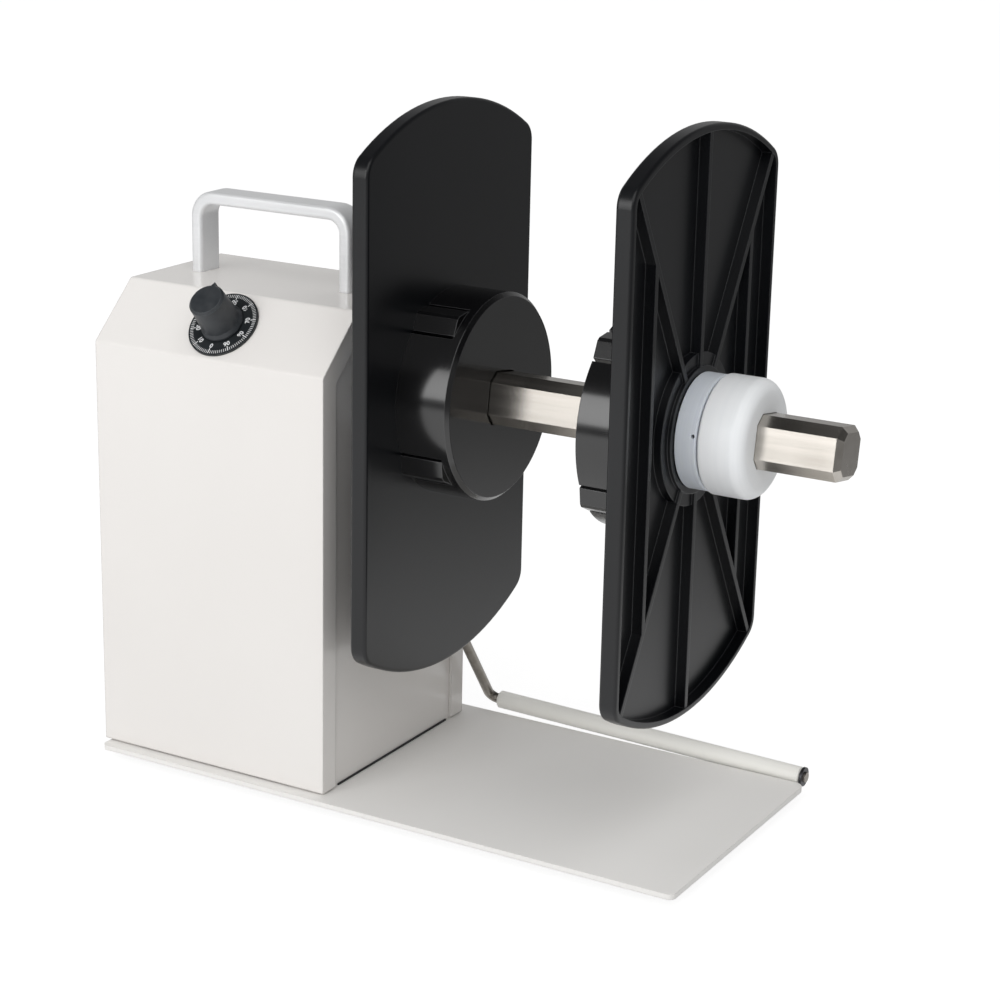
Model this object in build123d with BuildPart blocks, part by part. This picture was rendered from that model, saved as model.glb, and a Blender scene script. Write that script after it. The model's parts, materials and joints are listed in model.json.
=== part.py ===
"""Motor-driven label rewinder: a sheet-metal housing on a base plate, a square spindle with an
inner and an outer flange for a roll on a 76 mm core, and a swinging arm with a guide roller.

Millimetres. +X runs along the spindle away from the housing, +Y to the rear, +Z up. The origin is
the middle of the footprint, on the bench.
"""

import os
from math import atan2, cos, pi, radians, sin, sqrt, tan

from build123d import *

os.makedirs("parts", exist_ok=True)

# ---------------------------------------------------------------------------------------------
# Driving dimensions
# ---------------------------------------------------------------------------------------------

# Housing: a folded cover over two end panels
housing_width = 101.4
housing_depth = 99.5
housing_height = 178.1
slope_rise = 20.4  # from the shoulders up to the top
front_run = 21.8  # how far the front slope leans back
rear_run = 20.7
sheet = 1.2
bend_radius = 2.0
lip_width = 8.5  # the cover's edge folded over each end panel
panel_sheet = 2.0
panel_gap = 0.3  # between the cover and the panels inside it
panel_flange = 12.0  # width of the panels' folded flanges
shadow_gap = 0.6  # from the base plate up to the cover

# Base plate and feet
plate_thickness = 2.0
plate_front_lap = 5.2  # ahead of the housing
plate_rear_lap = 7.8
plate_right_lap = 3.6  # beyond the guide roller's end
plate_corner = 2.5
plate_rear_corner = 4.0
plate_left_inset = 2.0  # inside the housing's left end
foot_height = 4.0
foot_radius = 6.0
foot_edge = 0.5
foot_inset = 15.0

# Spindle: a square bar with chamfered corners, turned down inside the housing
axis_shift = 1.15  # behind the middle of the housing's depth
axis_drop = 31.4  # below the housing's top
bar_flats = 18.8
bar_chamfer = 3.7
bar_turn = -9.0  # how the bar stands at rest, in degrees about the axis
bar_reach = 178.0  # beyond the housing
bar_tip = 2.0  # chamfer round the bar's end
shoulder_radius = 9.4
shoulder_reach = 4.0  # beyond the housing, where the square starts
journal_radius = 7.5
stub_radius = 5.0
stub_length = 11.6
bore_gap = 0.5  # round the bar, inside the hubs and bushes
collar_bore_gap = 0.15  # round the bar, inside the locking collar

# Ball bearings, 15 x 32 x 9
bearing_radius = 16.0
bearing_width = 9.0
ball_radius = 2.38
ball_pitch_radius = 11.75
ball_count = 9
race_inner_radius = 10.2
race_outer_radius = 13.3
race_gap = 0.05
press_gap = 0.01  # radial, where rings and shafts are pressed or pinned together
running_gap = 0.05  # radial, where a round part turns on another
seat_gap = 0.2  # between pieces that are screwed face to face

# Bearing housing
barrel_radius = 20.0
barrel_lip = 2.0
barrel_flange_radius = 27.0
barrel_flange = 4.0
barrel_screw_circle = 23.5

# Flanges
flange_gap = 15.2  # from the housing to the inner flange
flange_half_width = 56.55
flange_radius = 105.25
flange_corner = 8.0
flange_thickness = 6.6
flange_floor = 2.3
flange_rim = 2.4
flange_edge = 1.2
rib_thickness = 2.0
rib_height = 4.0
rib_angle = 60.0  # of the slanting ribs, from the level
chord_offset = 37.0
boss_radius = 22.5
boss_foot_radius = 27.0
boss_foot_height = 3.0
flange_bore = 14.8

# Hubs for the roll's core
hub_radius = 38.0
hub_length = 21.5
hub_wall = 2.4
hub_disc = 3.0
hub_edge = 1.4
hub_core_radius = 20.5
roll_gap = 50.6  # between the two hubs at rest
finger_count = 4
finger_turn = 36.0  # first finger's middle, in degrees from +Y
finger_half_angle = 10.0
finger_ridge = 2.6  # how far a finger's ridge stands proud of the hub
finger_ridge_width = 1.6
slot_width = 1.2
slot_stop = 4.5  # from a slot's end to the hub's closed face

# Bushes of the flanges, and the locking collar
ring_radius = 20.4
ring_length = 8.0
ring_edge = 0.5
sleeve_gap = 0.3
collar_radius = 21.1
collar_length = 16.4
collar_neck_radius = 17.5
collar_neck = 0.4
collar_round = 4.8
collar_edge = 1.0
grub_radius = 2.0
grub_sink = 1.0  # how deep a set screw sits below the surface
bush_grub_radius = 0.6
bush_grub_inset = 1.2  # from the ring's free end
thread_gap = 0.1  # round a screw, in its hole

# Screws that hold each flange to its hub
core_screw_radius = 1.25
core_screw_head_radius = 2.4
core_screw_head = 1.4
core_screw_depth = 6.0  # into the hub

# Drive
coupling_radius = 10.0
coupling_length = 20.0
coupling_edge = 0.5
coupling_gap = 1.2  # from the bearing housing
coupling_grub_inset = 4.5  # of each set screw, from its end
shaft_gap = 1.0  # between the spindle's stub and the motor's shaft
motor_shaft_radius = 3.0
motor_shaft_length = 26.0
spacer_inset = 25.25  # of the four spacers, from the housing's front and rear
spacer_up = 18.3  # above and below the axis
spacer_edge = 3.5  # from a spacer to the motor plate's edge
spacer_radius = 3.0
spacer_length = 42.8
motor_plate_height = 43.0
motor_plate_sheet = 2.0
motor_plate_corner = 4.0
spacer_screw_length = 8.0
gearbox_radius = 18.5
gearbox_length = 22.0
gearbox_edge = 0.8
gearbox_pilot = 6.0
motor_radius = 17.0
motor_edge = 1.2
motor_gap = 1.7  # from the motor's boss to the left panel
motor_boss_radius = 9.0
motor_boss = 1.5
motor_screw_circle = 14.0
motor_screw_depth = 4.5  # into the gearbox
motor_screw_spare = 0.5  # of the tapped hole, past the screw's end

# Tension arm and guide roller
arm_pivot_inset = 10.9  # ahead of the housing's rear
arm_pivot_rise = 36.3
arm_stand = 6.1  # from the housing to the arm's crank
arm_rod_radius = 2.0
arm_bend = 4.0
arm_inboard = 22.0
roller_behind = 12.5  # behind the housing's rear
roller_rise = 3.25
roller_droop = 1.27  # degrees, falling away from the housing
roller_radius = 3.5
roller_start = 4.4  # along the rod from the corner
roller_length = 132.1
roller_edge = 0.5
washer_radius = 3.7
washer_thickness = 1.0
washer_gap = 0.4
rod_tip = 0.8  # beyond the washer
arm_bush_radius = 3.0
arm_bush_head = 5.0
arm_bush_head_length = 1.2
arm_collar_radius = 6.0
arm_collar_length = 6.0
lug_length = 14.0
lug_thickness = 3.0
stop_pin_radius = 1.5
stop_pin_inset = 1.0  # from the lug's end
stop_gap = 0.3
bracket_sheet = 1.5
bracket_width = 20.0
bracket_top = 11.0  # above the arm's pivot
bracket_foot = 11.0
sensor_radius = 8.0
sensor_length = 9.0

# Carrying handle: a bent flat bar
handle_outside = 71.8
handle_rise = 31.2
handle_bar = 5.0
handle_width = 12.0
handle_bend = 10.0
handle_edge = 1.5
handle_shift = -3.5  # off the middle of the housing, away from the spindle
handle_front = 44.0  # behind the housing's front
handle_screw_length = 10.0

# Dial and speed knob, on the front slope
dial_radius = 13.7
dial_thickness = 1.0
dial_up = 15.2  # up the slope from its lower bend
knob_gap = 0.5
knob_skirt_radius = 8.1
knob_skirt = 2.2
knob_radius = 7.4
knob_top_radius = 6.8
knob_height = 15.9
knob_edge = 0.8
knob_recess_radius = 6.4
knob_recess = 3.4
pointer_half_width = 0.9
pointer_proud = 0.4
pot_radius = 8.0
pot_length = 6.5
pot_bush_radius = 3.5
pot_bush_length = 4.6
pot_shaft_radius = 3.0
pot_shaft_top = 12.0
knob_grub_drop = 5.0  # below the shaft's top
pot_nut_flats = 10.0
pot_nut = 2.0

# Rear: direction switch and power inlet
switch_rise = 62.9
switch_inset = 32.7  # from the housing's left side
switch_width = 15.0
switch_height = 21.0
switch_bezel = 2.0
switch_corner = 1.5
switch_body_width = 12.6
switch_body_height = 18.8
switch_body_depth = 14.0
rocker_width = 10.4
rocker_height = 15.6
rocker_thickness = 5.0
rocker_proud = 3.0
rocker_edge = 0.8
inlet_rise = 34.9
inlet_inset = 34.5  # from the housing's right side
inlet_radius = 5.5
inlet_head_radius = 7.0
inlet_head = 1.5
inlet_depth = 11.0
inlet_bore = 3.1
inlet_pin = 1.0
inlet_floor = 1.5
inlet_pin_drop = 1.0  # of the pin's tip, inside the housing's rear
inlet_nut_flats = 13.0
inlet_nut_height = 2.2

# Control board
board_from_panel = 10.2  # clear of the left panel
board_from_face = 38.0  # clear of the housing's right side
board_back = 22.0
board_width = 55.0
board_thickness = 1.6
board_corner = 2.0
board_spacer = 8.0
board_spacer_radius = 2.6
board_margin = 5.0
terminal_margin = 3.0
terminal_back = 14.0
terminal_length = 26.0
terminal_width = 10.0
terminal_height = 10.0
relay_left = 20.0
relay_length = 16.0
relay_width = 7.0
relay_height = 9.0
chip_left = 22.0
chip_back = 22.0
chip_length = 12.0
chip_width = 8.0
chip_height = 4.0
capacitor_radius = 5.0
capacitor_height = 14.0
capacitor_inset = 15.0  # of the first one, from the board's right edge
capacitor_pitch = 13.0
capacitor_front = 9.0  # ahead of the board's rear edge

# Screws
screw_radius = 1.5
screw_head_radius = 2.8
screw_head = 1.8
base_screw_front = 22.0  # behind the housing's front
base_screw_rear = 26.0  # ahead of the housing's rear
cover_screw_low = 16.9  # above the cover's lower edge
cover_screw_high = 22.0  # below the shoulders

# ---------------------------------------------------------------------------------------------
# Stations: where the pieces lie
# ---------------------------------------------------------------------------------------------

axis_back = housing_depth / 2 + axis_shift  # behind the housing's front
plate_reach = arm_stand + roller_start + roller_length + plate_right_lap  # beyond the housing
spacer_across = housing_depth / 2 - spacer_inset
motor_plate_width = 2 * (spacer_across + spacer_edge)
footprint_front = axis_back - flange_half_width
footprint_rear = housing_depth + roller_behind + washer_radius
x_left = -(housing_width + bar_reach) / 2
x_face = x_left + housing_width
x_middle = x_left + housing_width / 2
x_end = x_face + bar_reach
y_front = -(footprint_front + footprint_rear) / 2
y_rear = y_front + housing_depth
y_axis = y_front + axis_back
z_plate = foot_height + plate_thickness
z_cover = z_plate + shadow_gap
z_top = z_cover + housing_height
z_shoulder = z_top - slope_rise
z_axis = z_top - axis_drop

slope_length = sqrt(front_run**2 + slope_rise**2)
slope_up = (0, front_run / slope_length, slope_rise / slope_length)
slope_normal = (0, -slope_rise / slope_length, front_run / slope_length)

x_panel = x_face - sheet - panel_sheet  # inner face of the bearing panel
x_left_panel = x_left + sheet + panel_sheet
x_barrel_end = x_panel - 2 * bearing_width - barrel_lip
x_stub = x_barrel_end + barrel_lip - seat_gap
x_coupling = x_barrel_end - coupling_gap
x_motor_plate = x_panel - spacer_length
x_gearbox = x_motor_plate - motor_plate_sheet

x_inner_flange = x_face + flange_gap
x_inner_hub = x_inner_flange + flange_thickness
x_outer_hub = x_inner_hub + hub_length + roll_gap
x_outer_flange = x_outer_hub + hub_length
x_ring = x_outer_flange + flange_thickness + seat_gap
x_collar = x_ring + ring_length + sleeve_gap

y_pivot = y_rear - arm_pivot_inset
z_pivot = z_cover + arm_pivot_rise
roller_corner = (x_face + arm_stand, y_rear + roller_behind, z_cover + roller_rise)
roller_along = (cos(radians(roller_droop)), 0, -sin(radians(roller_droop)))

spindle_axis = Axis((0, y_axis, z_axis), (1, 0, 0))
arm_axis = Axis((0, y_pivot, z_pivot), (1, 0, 0))
roller_axis = Axis(roller_corner, roller_along)
spindle_lathe = Plane(origin=(0, y_axis, z_axis), x_dir=(1, 0, 0), z_dir=(0, -1, 0))
arm_lathe = Plane(origin=(0, y_pivot, z_pivot), x_dir=(1, 0, 0), z_dir=(0, -1, 0))
roller_lathe = Plane(origin=roller_corner, x_dir=roller_along, z_dir=(0, -1, 0))

dial_centre = (
    x_middle,
    y_front + dial_up * slope_up[1],
    z_shoulder + dial_up * slope_up[2],
)
dial_plane = Plane(origin=dial_centre, x_dir=(1, 0, 0), z_dir=slope_normal)
dial_axis = Axis(dial_centre, slope_normal)
dial_lathe = Plane(origin=dial_centre, x_dir=slope_normal, z_dir=(1, 0, 0))


# ---------------------------------------------------------------------------------------------
# Shared outlines
# ---------------------------------------------------------------------------------------------


def outline(plane, points):
    """Closed outline on a plane. On a lathe plane a point is (station along the axis, radius)."""
    with BuildSketch(plane) as drawn:
        with BuildLine():
            Polyline(*points, close=True)
        make_face()
    return drawn.sketch


def tube_outline(plane, start, end, inner, outer):
    """Half section of a plain tube or, with no inner radius, of a round bar."""
    return outline(plane, [(start, inner), (end, inner), (end, outer), (start, outer)])


def disc(plane, radius):
    """Round outline in the middle of a plane."""
    with BuildSketch(plane) as drawn:
        Circle(radius)
    return drawn.sketch


def across(x, turn=0.0):
    """Plane square to the spindle at station x, centred on it and turned about it in degrees."""
    level = (0, cos(radians(turn)), sin(radians(turn)))
    return Plane(origin=(x, y_axis, z_axis), x_dir=level, z_dir=(1, 0, 0))


def block(low, high):
    """Box between two opposite corners."""
    size = [b - a for a, b in zip(low, high)]
    middle = tuple((a + b) / 2 for a, b in zip(low, high))
    with Locations(middle):
        Box(*size)


def house_outline(x, inset, bottom, corner):
    """End outline of the housing at station x, inset evenly and cut off level at the bottom."""
    front_turn = atan2(front_run, slope_rise)
    rear_turn = atan2(rear_run, slope_rise)
    points = [
        (y_front + inset, bottom),
        (y_front + inset, z_shoulder - inset * tan(front_turn / 2)),
        (y_front + front_run + inset * tan(pi / 4 - front_turn / 2), z_top - inset),
        (y_rear - rear_run - inset * tan(pi / 4 - rear_turn / 2), z_top - inset),
        (y_rear - inset, z_shoulder - inset * tan(rear_turn / 2)),
        (y_rear - inset, bottom),
    ]
    with BuildSketch(Plane.YZ.offset(x)) as drawn:
        with BuildLine():
            Polyline(*points, close=True)
        make_face()
        fillet(drawn.vertices().filter_by(lambda v: v.Y > bottom + sheet), corner)
    return drawn.sketch


def grub_seat(x, quarter):
    """Plane of a set screw at station x, on the axis and facing out over one of the bar's flats."""
    angle = radians(bar_turn + 90 * quarter)
    return Plane(origin=(x, y_axis, z_axis), z_dir=(0, cos(angle), sin(angle)))


def bar_outline(x, gap):
    """Section of the square bar with its chamfered corners, or of a bore with a gap round it."""
    with BuildSketch(across(x)) as drawn:
        Rectangle(bar_flats + 2 * gap, bar_flats + 2 * gap, rotation=bar_turn)
        chamfer(drawn.vertices(), bar_chamfer)
    return drawn.sketch


def pan_screws(places, length, radius=screw_radius):
    """Pan-head screws, one at each plane: the head above the plane, the shank below it."""
    for place in places:
        extrude(disc(place, screw_head_radius), amount=screw_head)
        extrude(disc(place, radius), amount=-length)


def drill(place, radius, depth):
    """A round hole from a plane: along its normal, or against it where the depth is negative."""
    extrude(disc(place, radius), amount=depth, mode=Mode.SUBTRACT)


def screw_planes(centres, outward):
    """A plane for each screw, at its seat, with its normal along the head."""
    return [Plane(origin=centre, z_dir=outward) for centre in centres]


# ---------------------------------------------------------------------------------------------
# Places of the fasteners
# ---------------------------------------------------------------------------------------------

panel_inset = sheet + panel_gap
flange_middle = panel_flange / 2
base_screw_y = (y_front + base_screw_front, y_rear - base_screw_rear)
base_screw_x = (x_left_panel + flange_middle, x_panel - flange_middle)
base_screw_spots = [(x, y) for x in base_screw_x for y in base_screw_y]
foot_x = (x_left + foot_inset, x_face + plate_reach - foot_inset)
foot_y = (y_front - plate_front_lap + foot_inset, y_rear + plate_rear_lap - foot_inset)
foot_spots = [(x, y) for x in foot_x for y in foot_y]
cover_screw_z = (z_cover + cover_screw_low, z_shoulder - cover_screw_high)
cover_screw_spots = [(x, z) for x in base_screw_x for z in cover_screw_z]
spacer_spots = [
    (y_axis + side * spacer_across, z_axis + height * spacer_up)
    for side in (-1, 1)
    for height in (-1, 1)
]
barrel_screw_spots = [
    (
        y_axis + barrel_screw_circle * cos(radians(angle)),
        z_axis + barrel_screw_circle * sin(radians(angle)),
    )
    for angle in (45, 135, 225, 315)
]
motor_screw_spots = [
    (
        y_axis + motor_screw_circle * cos(radians(angle)),
        z_axis + motor_screw_circle * sin(radians(angle)),
    )
    for angle in (0, 90, 180, 270)
]
handle_left = x_middle + handle_shift - handle_outside / 2
handle_right = handle_left + handle_outside
handle_y = y_front + handle_front
handle_screw_x = (handle_left + handle_bar / 2, handle_right - handle_bar / 2)
handle_screw_y = handle_y + handle_width / 2
handle_screw_radius = 1.2

switch_x = x_left + switch_inset
switch_z = z_cover + switch_rise
switch_centre = (switch_x, y_rear, switch_z)
inlet_x = x_face - inlet_inset
inlet_z = z_cover + inlet_rise
inlet_centre = (inlet_x, y_rear, inlet_z)


# ---------------------------------------------------------------------------------------------
# Base plate and feet
# ---------------------------------------------------------------------------------------------

with BuildPart() as base_plate:
    block(
        (x_left + plate_left_inset, y_front - plate_front_lap, foot_height),
        (x_face + plate_reach, y_rear + plate_rear_lap, z_plate),
    )
    upright = base_plate.edges().filter_by(Axis.Z)
    right_edges = upright.group_by(Axis.X)[-1]
    fillet(right_edges.sort_by(Axis.Y)[-1], plate_rear_corner)
    upright = base_plate.edges().filter_by(Axis.Z)
    fillet(upright.filter_by(lambda e: e.center().Y < y_front), plate_corner)
    for x, y in base_screw_spots:
        place = Plane(origin=(x, y, foot_height), z_dir=(0, 0, -1))
        drill(place, screw_radius + thread_gap, -plate_thickness)
base_plate.part.label = "base_plate"
export_step(base_plate.part, "parts/base_plate.step")

with BuildPart() as rubber_feet:
    for x, y in foot_spots:
        extrude(disc(Plane(origin=(x, y, 0)), foot_radius), amount=foot_height)
    treads = rubber_feet.faces().filter_by(Plane.XY).group_by(Axis.Z)[0]
    chamfer(treads.edges(), foot_edge)
rubber_feet.part.label = "rubber_feet"
export_step(rubber_feet.part, "parts/rubber_feet.step")

with BuildPart() as base_screws:
    base_screw_planes = screw_planes([(x, y, foot_height) for x, y in base_screw_spots], (0, 0, -1))
    pan_screws(base_screw_planes, plate_thickness + panel_sheet)
base_screws.part.label = "base_screws"
export_step(base_screws.part, "parts/base_screws.step")

# ---------------------------------------------------------------------------------------------
# Housing: folded cover and end panels
# ---------------------------------------------------------------------------------------------

with BuildPart() as housing_cover:
    extrude(house_outline(x_left, 0, z_cover, bend_radius), amount=housing_width)
    extrude(
        house_outline(x_left + sheet, sheet, z_plate, bend_radius - sheet),
        amount=housing_width - 2 * sheet,
        mode=Mode.SUBTRACT,
    )
    extrude(
        house_outline(x_left, lip_width, z_plate, bend_radius),
        amount=housing_width,
        mode=Mode.SUBTRACT,
    )
    extrude(
        disc(dial_plane, pot_bush_radius + thread_gap), amount=2 * sheet, both=True, mode=Mode.SUBTRACT
    )
    for x in handle_screw_x:
        place = Plane(origin=(x, handle_screw_y, z_top))
        drill(place, handle_screw_radius + thread_gap, -2 * sheet)
    for x, z in cover_screw_spots:
        place = Plane(origin=(x, y_rear, z), z_dir=(0, 1, 0))
        drill(place, screw_radius + thread_gap, -2 * sheet)
    inlet_place = Plane(origin=inlet_centre, z_dir=(0, 1, 0))
    drill(inlet_place, inlet_radius + thread_gap, -2 * sheet)
    cutout_half_width = switch_body_width / 2 + thread_gap
    cutout_half_height = switch_body_height / 2 + thread_gap
    with BuildSketch(Plane(origin=switch_centre, x_dir=(1, 0, 0), z_dir=(0, 1, 0))):
        Rectangle(2 * cutout_half_width, 2 * cutout_half_height)
    extrude(amount=-2 * sheet, mode=Mode.SUBTRACT)
housing_cover.part.label = "housing_cover"
export_step(housing_cover.part, "parts/housing_cover.step")


def end_panel(x_inner, inward):
    """End panel with a flange folded in along the base plate and another along the rear."""
    x_fold = x_inner + inward * panel_flange
    low_x, high_x = sorted((x_inner, x_fold))
    inner_front = y_front + panel_inset
    inner_rear = y_rear - panel_inset
    with BuildPart() as panel:
        extrude(
            house_outline(x_inner, panel_inset, z_plate, bend_radius), amount=-inward * panel_sheet
        )
        block((low_x, inner_front, z_plate), (high_x, inner_rear, z_plate + panel_sheet))
        block(
            (low_x, inner_rear - panel_sheet, z_plate),
            (high_x, inner_rear, z_shoulder - panel_flange),
        )
        for x, y in base_screw_spots:
            place = Plane(origin=(x, y, z_plate))
            drill(place, screw_radius + thread_gap, panel_sheet)
        for x, z in cover_screw_spots:
            place = Plane(origin=(x, inner_rear, z), z_dir=(0, 1, 0))
            drill(place, screw_radius + thread_gap, -panel_sheet)
    return panel.part


with BuildPart() as left_panel:
    add(end_panel(x_left_panel, 1))
left_panel.part.label = "left_panel"
export_step(left_panel.part, "parts/left_panel.step")

with BuildPart() as bearing_panel:
    add(end_panel(x_panel, -1))
    drill(across(x_panel), race_outer_radius, panel_sheet)
    for y, z in spacer_spots + barrel_screw_spots:
        place = Plane(origin=(x_panel, y, z), z_dir=(1, 0, 0))
        drill(place, screw_radius + thread_gap, panel_sheet)
    arm_hole = Plane(origin=(x_panel, y_pivot, z_pivot), z_dir=(1, 0, 0))
    drill(arm_hole, arm_bush_radius + thread_gap, panel_sheet)
bearing_panel.part.label = "bearing_panel"
export_step(bearing_panel.part, "parts/bearing_panel.step")

with BuildPart() as cover_screws:
    cover_screw_planes = screw_planes([(x, y_rear, z) for x, z in cover_screw_spots], (0, 1, 0))
    pan_screws(cover_screw_planes, panel_inset + 2 * panel_sheet)
cover_screws.part.label = "cover_screws"
export_step(cover_screws.part, "parts/cover_screws.step")

# ---------------------------------------------------------------------------------------------
# Carrying handle
# ---------------------------------------------------------------------------------------------

with BuildPart() as carry_handle:
    with BuildSketch(Plane(origin=(0, handle_y, 0), x_dir=(1, 0, 0), z_dir=(0, -1, 0))) as bow:
        with BuildLine():
            FilletPolyline(
                (handle_left, z_top),
                (handle_left, z_top + handle_rise),
                (handle_right, z_top + handle_rise),
                (handle_right, z_top),
                radius=handle_bend,
            )
            Polyline((handle_right, z_top), (handle_right - handle_bar, z_top))
            FilletPolyline(
                (handle_right - handle_bar, z_top),
                (handle_right - handle_bar, z_top + handle_rise - handle_bar),
                (handle_left + handle_bar, z_top + handle_rise - handle_bar),
                (handle_left + handle_bar, z_top),
                radius=handle_bend - handle_bar,
            )
            Polyline((handle_left + handle_bar, z_top), (handle_left, z_top))
        make_face()
    extrude(amount=-handle_width)
    bow_faces = carry_handle.faces().filter_by(Plane.XZ)
    bow_edges = bow_faces.edges().filter_by(lambda e: e.center().Z > z_top + handle_edge)
    fillet(bow_edges, handle_edge)
    for x in handle_screw_x:
        place = Plane(origin=(x, handle_screw_y, z_top))
        drill(place, handle_screw_radius + thread_gap, handle_screw_length)
carry_handle.part.label = "carry_handle"
export_step(carry_handle.part, "parts/carry_handle.step")

with BuildPart() as handle_screws:
    handle_screw_planes = screw_planes(
        [(x, handle_screw_y, z_top - sheet) for x in handle_screw_x], (0, 0, -1)
    )
    pan_screws(handle_screw_planes, handle_screw_length, handle_screw_radius)
handle_screws.part.label = "handle_screws"
export_step(handle_screws.part, "parts/handle_screws.step")

# ---------------------------------------------------------------------------------------------
# Speed control on the front slope
# ---------------------------------------------------------------------------------------------

with BuildPart() as dial_plate:
    extrude(disc(dial_plane, dial_radius), amount=dial_thickness)
    drill(dial_plane, pot_bush_radius + thread_gap, dial_thickness)
dial_plate.part.label = "dial_plate"
export_step(dial_plate.part, "parts/dial_plate.step")

with BuildPart() as potentiometer:
    revolve(tube_outline(dial_lathe, -sheet - pot_length, -sheet, 0, pot_radius), axis=dial_axis)
    revolve(tube_outline(dial_lathe, -sheet, pot_bush_length, 0, pot_bush_radius), axis=dial_axis)
    revolve(
        tube_outline(
            dial_lathe, -sheet - pot_length / 2, pot_bush_length, 0, pot_shaft_radius + running_gap
        ),
        axis=dial_axis,
        mode=Mode.SUBTRACT,
    )
    with BuildSketch(dial_plane.offset(-sheet - pot_length)):
        with Locations((0, -pot_radius)):
            Rectangle(pot_radius, pot_radius)
    extrude(amount=bracket_sheet)
potentiometer.part.label = "potentiometer"
export_step(potentiometer.part, "parts/potentiometer.step")

with BuildPart() as potentiometer_nut:
    with BuildSketch(dial_plane.offset(dial_thickness)):
        RegularPolygon(pot_nut_flats / 2, 6, major_radius=False)
        Circle(pot_bush_radius + press_gap, mode=Mode.SUBTRACT)
    extrude(amount=pot_nut)
potentiometer_nut.part.label = "potentiometer_nut"
export_step(potentiometer_nut.part, "parts/potentiometer_nut.step")

with BuildPart() as knob_shaft:
    revolve(
        tube_outline(
            dial_lathe, -sheet - pot_length / 2 + seat_gap, pot_shaft_top, 0, pot_shaft_radius
        ),
        axis=dial_axis,
    )
knob_shaft.part.label = "knob_shaft"
export_step(knob_shaft.part, "parts/knob_shaft.step")

knob_base = dial_thickness + knob_gap
knob_waist = knob_base + knob_skirt
knob_grub_rise = pot_shaft_top - knob_grub_drop
with BuildPart() as speed_knob:
    revolve(
        outline(
            dial_lathe,
            [
                (knob_base, 0),
                (knob_base, knob_skirt_radius),
                (knob_base + knob_skirt / 3, knob_skirt_radius),
                (knob_waist, knob_radius),
                (knob_height - knob_edge, knob_top_radius),
                (knob_height, knob_top_radius - knob_edge),
                (knob_height, 0),
            ],
        ),
        axis=dial_axis,
    )
    pointer_base = knob_base + knob_skirt / 3
    with BuildSketch(dial_plane.offset(pointer_base)):
        with BuildLine():
            Polyline(
                (-pointer_half_width, pot_shaft_radius),
                (-pointer_half_width, knob_top_radius - knob_edge),
                (0, knob_radius + pointer_proud),
                (pointer_half_width, knob_top_radius - knob_edge),
                (pointer_half_width, pot_shaft_radius),
                close=True,
            )
        make_face()
    extrude(amount=knob_height - pointer_base)
    revolve(
        tube_outline(dial_lathe, knob_base, knob_base + knob_recess, 0, knob_recess_radius),
        axis=dial_axis,
        mode=Mode.SUBTRACT,
    )
    revolve(
        tube_outline(dial_lathe, knob_base, pot_shaft_top + seat_gap, 0, pot_shaft_radius + press_gap),
        axis=dial_axis,
        mode=Mode.SUBTRACT,
    )
    knob_grub_plane = Plane(
        origin=tuple(c + knob_grub_rise * n for c, n in zip(dial_centre, slope_normal)),
        z_dir=slope_up,
    )
    drill(knob_grub_plane, screw_radius + thread_gap, knob_skirt_radius)
speed_knob.part.label = "speed_knob"
export_step(speed_knob.part, "parts/speed_knob.step")

with BuildPart() as knob_set_screw:
    grub_start = knob_grub_plane.offset(pot_shaft_radius + thread_gap)
    extrude(disc(grub_start, screw_radius), amount=knob_top_radius - pot_shaft_radius - grub_sink)
knob_set_screw.part.label = "knob_set_screw"
export_step(knob_set_screw.part, "parts/knob_set_screw.step")

# ---------------------------------------------------------------------------------------------
# Bearings and their housing
# ---------------------------------------------------------------------------------------------

bearing_starts = [x_panel - bearing_width, x_panel - 2 * bearing_width]

with BuildPart() as bearing_housing:
    revolve(
        outline(
            spindle_lathe,
            [
                (x_panel, bearing_radius + press_gap),
                (x_panel, barrel_flange_radius),
                (x_panel - barrel_flange, barrel_flange_radius),
                (x_panel - barrel_flange, barrel_radius),
                (x_barrel_end, barrel_radius),
                (x_barrel_end, race_outer_radius),
                (x_barrel_end + barrel_lip, race_outer_radius),
                (x_barrel_end + barrel_lip, bearing_radius + press_gap),
            ],
        ),
        axis=spindle_axis,
    )
    for y, z in barrel_screw_spots:
        place = Plane(origin=(x_panel, y, z), z_dir=(1, 0, 0))
        drill(place, screw_radius + thread_gap, -barrel_flange)
bearing_housing.part.label = "bearing_housing"
export_step(bearing_housing.part, "parts/bearing_housing.step")

with BuildPart() as bearing_screws:
    bearing_screw_planes = screw_planes(
        [(x_panel + panel_sheet, y, z) for y, z in barrel_screw_spots], (1, 0, 0)
    )
    pan_screws(bearing_screw_planes, panel_sheet + barrel_flange)
bearing_screws.part.label = "bearing_screws"
export_step(bearing_screws.part, "parts/bearing_screws.step")


def race_groove(start):
    """Section of the balls' track in one bearing."""
    with BuildSketch(spindle_lathe) as drawn:
        with Locations((start + bearing_width / 2, ball_pitch_radius)):
            Circle(ball_radius + race_gap)
    return drawn.sketch


with BuildPart() as bearing_outer_rings:
    for start in bearing_starts:
        revolve(
            tube_outline(
                spindle_lathe, start, start + bearing_width, race_outer_radius, bearing_radius
            ),
            axis=spindle_axis,
        )
    for start in bearing_starts:
        revolve(race_groove(start), axis=spindle_axis, mode=Mode.SUBTRACT)
bearing_outer_rings.part.label = "bearing_outer_rings"
export_step(bearing_outer_rings.part, "parts/bearing_outer_rings.step")

with BuildPart() as bearing_inner_rings:
    for start in bearing_starts:
        revolve(
            tube_outline(
                spindle_lathe,
                start,
                start + bearing_width,
                journal_radius + press_gap,
                race_inner_radius,
            ),
            axis=spindle_axis,
        )
    for start in bearing_starts:
        revolve(race_groove(start), axis=spindle_axis, mode=Mode.SUBTRACT)
bearing_inner_rings.part.label = "bearing_inner_rings"
export_step(bearing_inner_rings.part, "parts/bearing_inner_rings.step")

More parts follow.
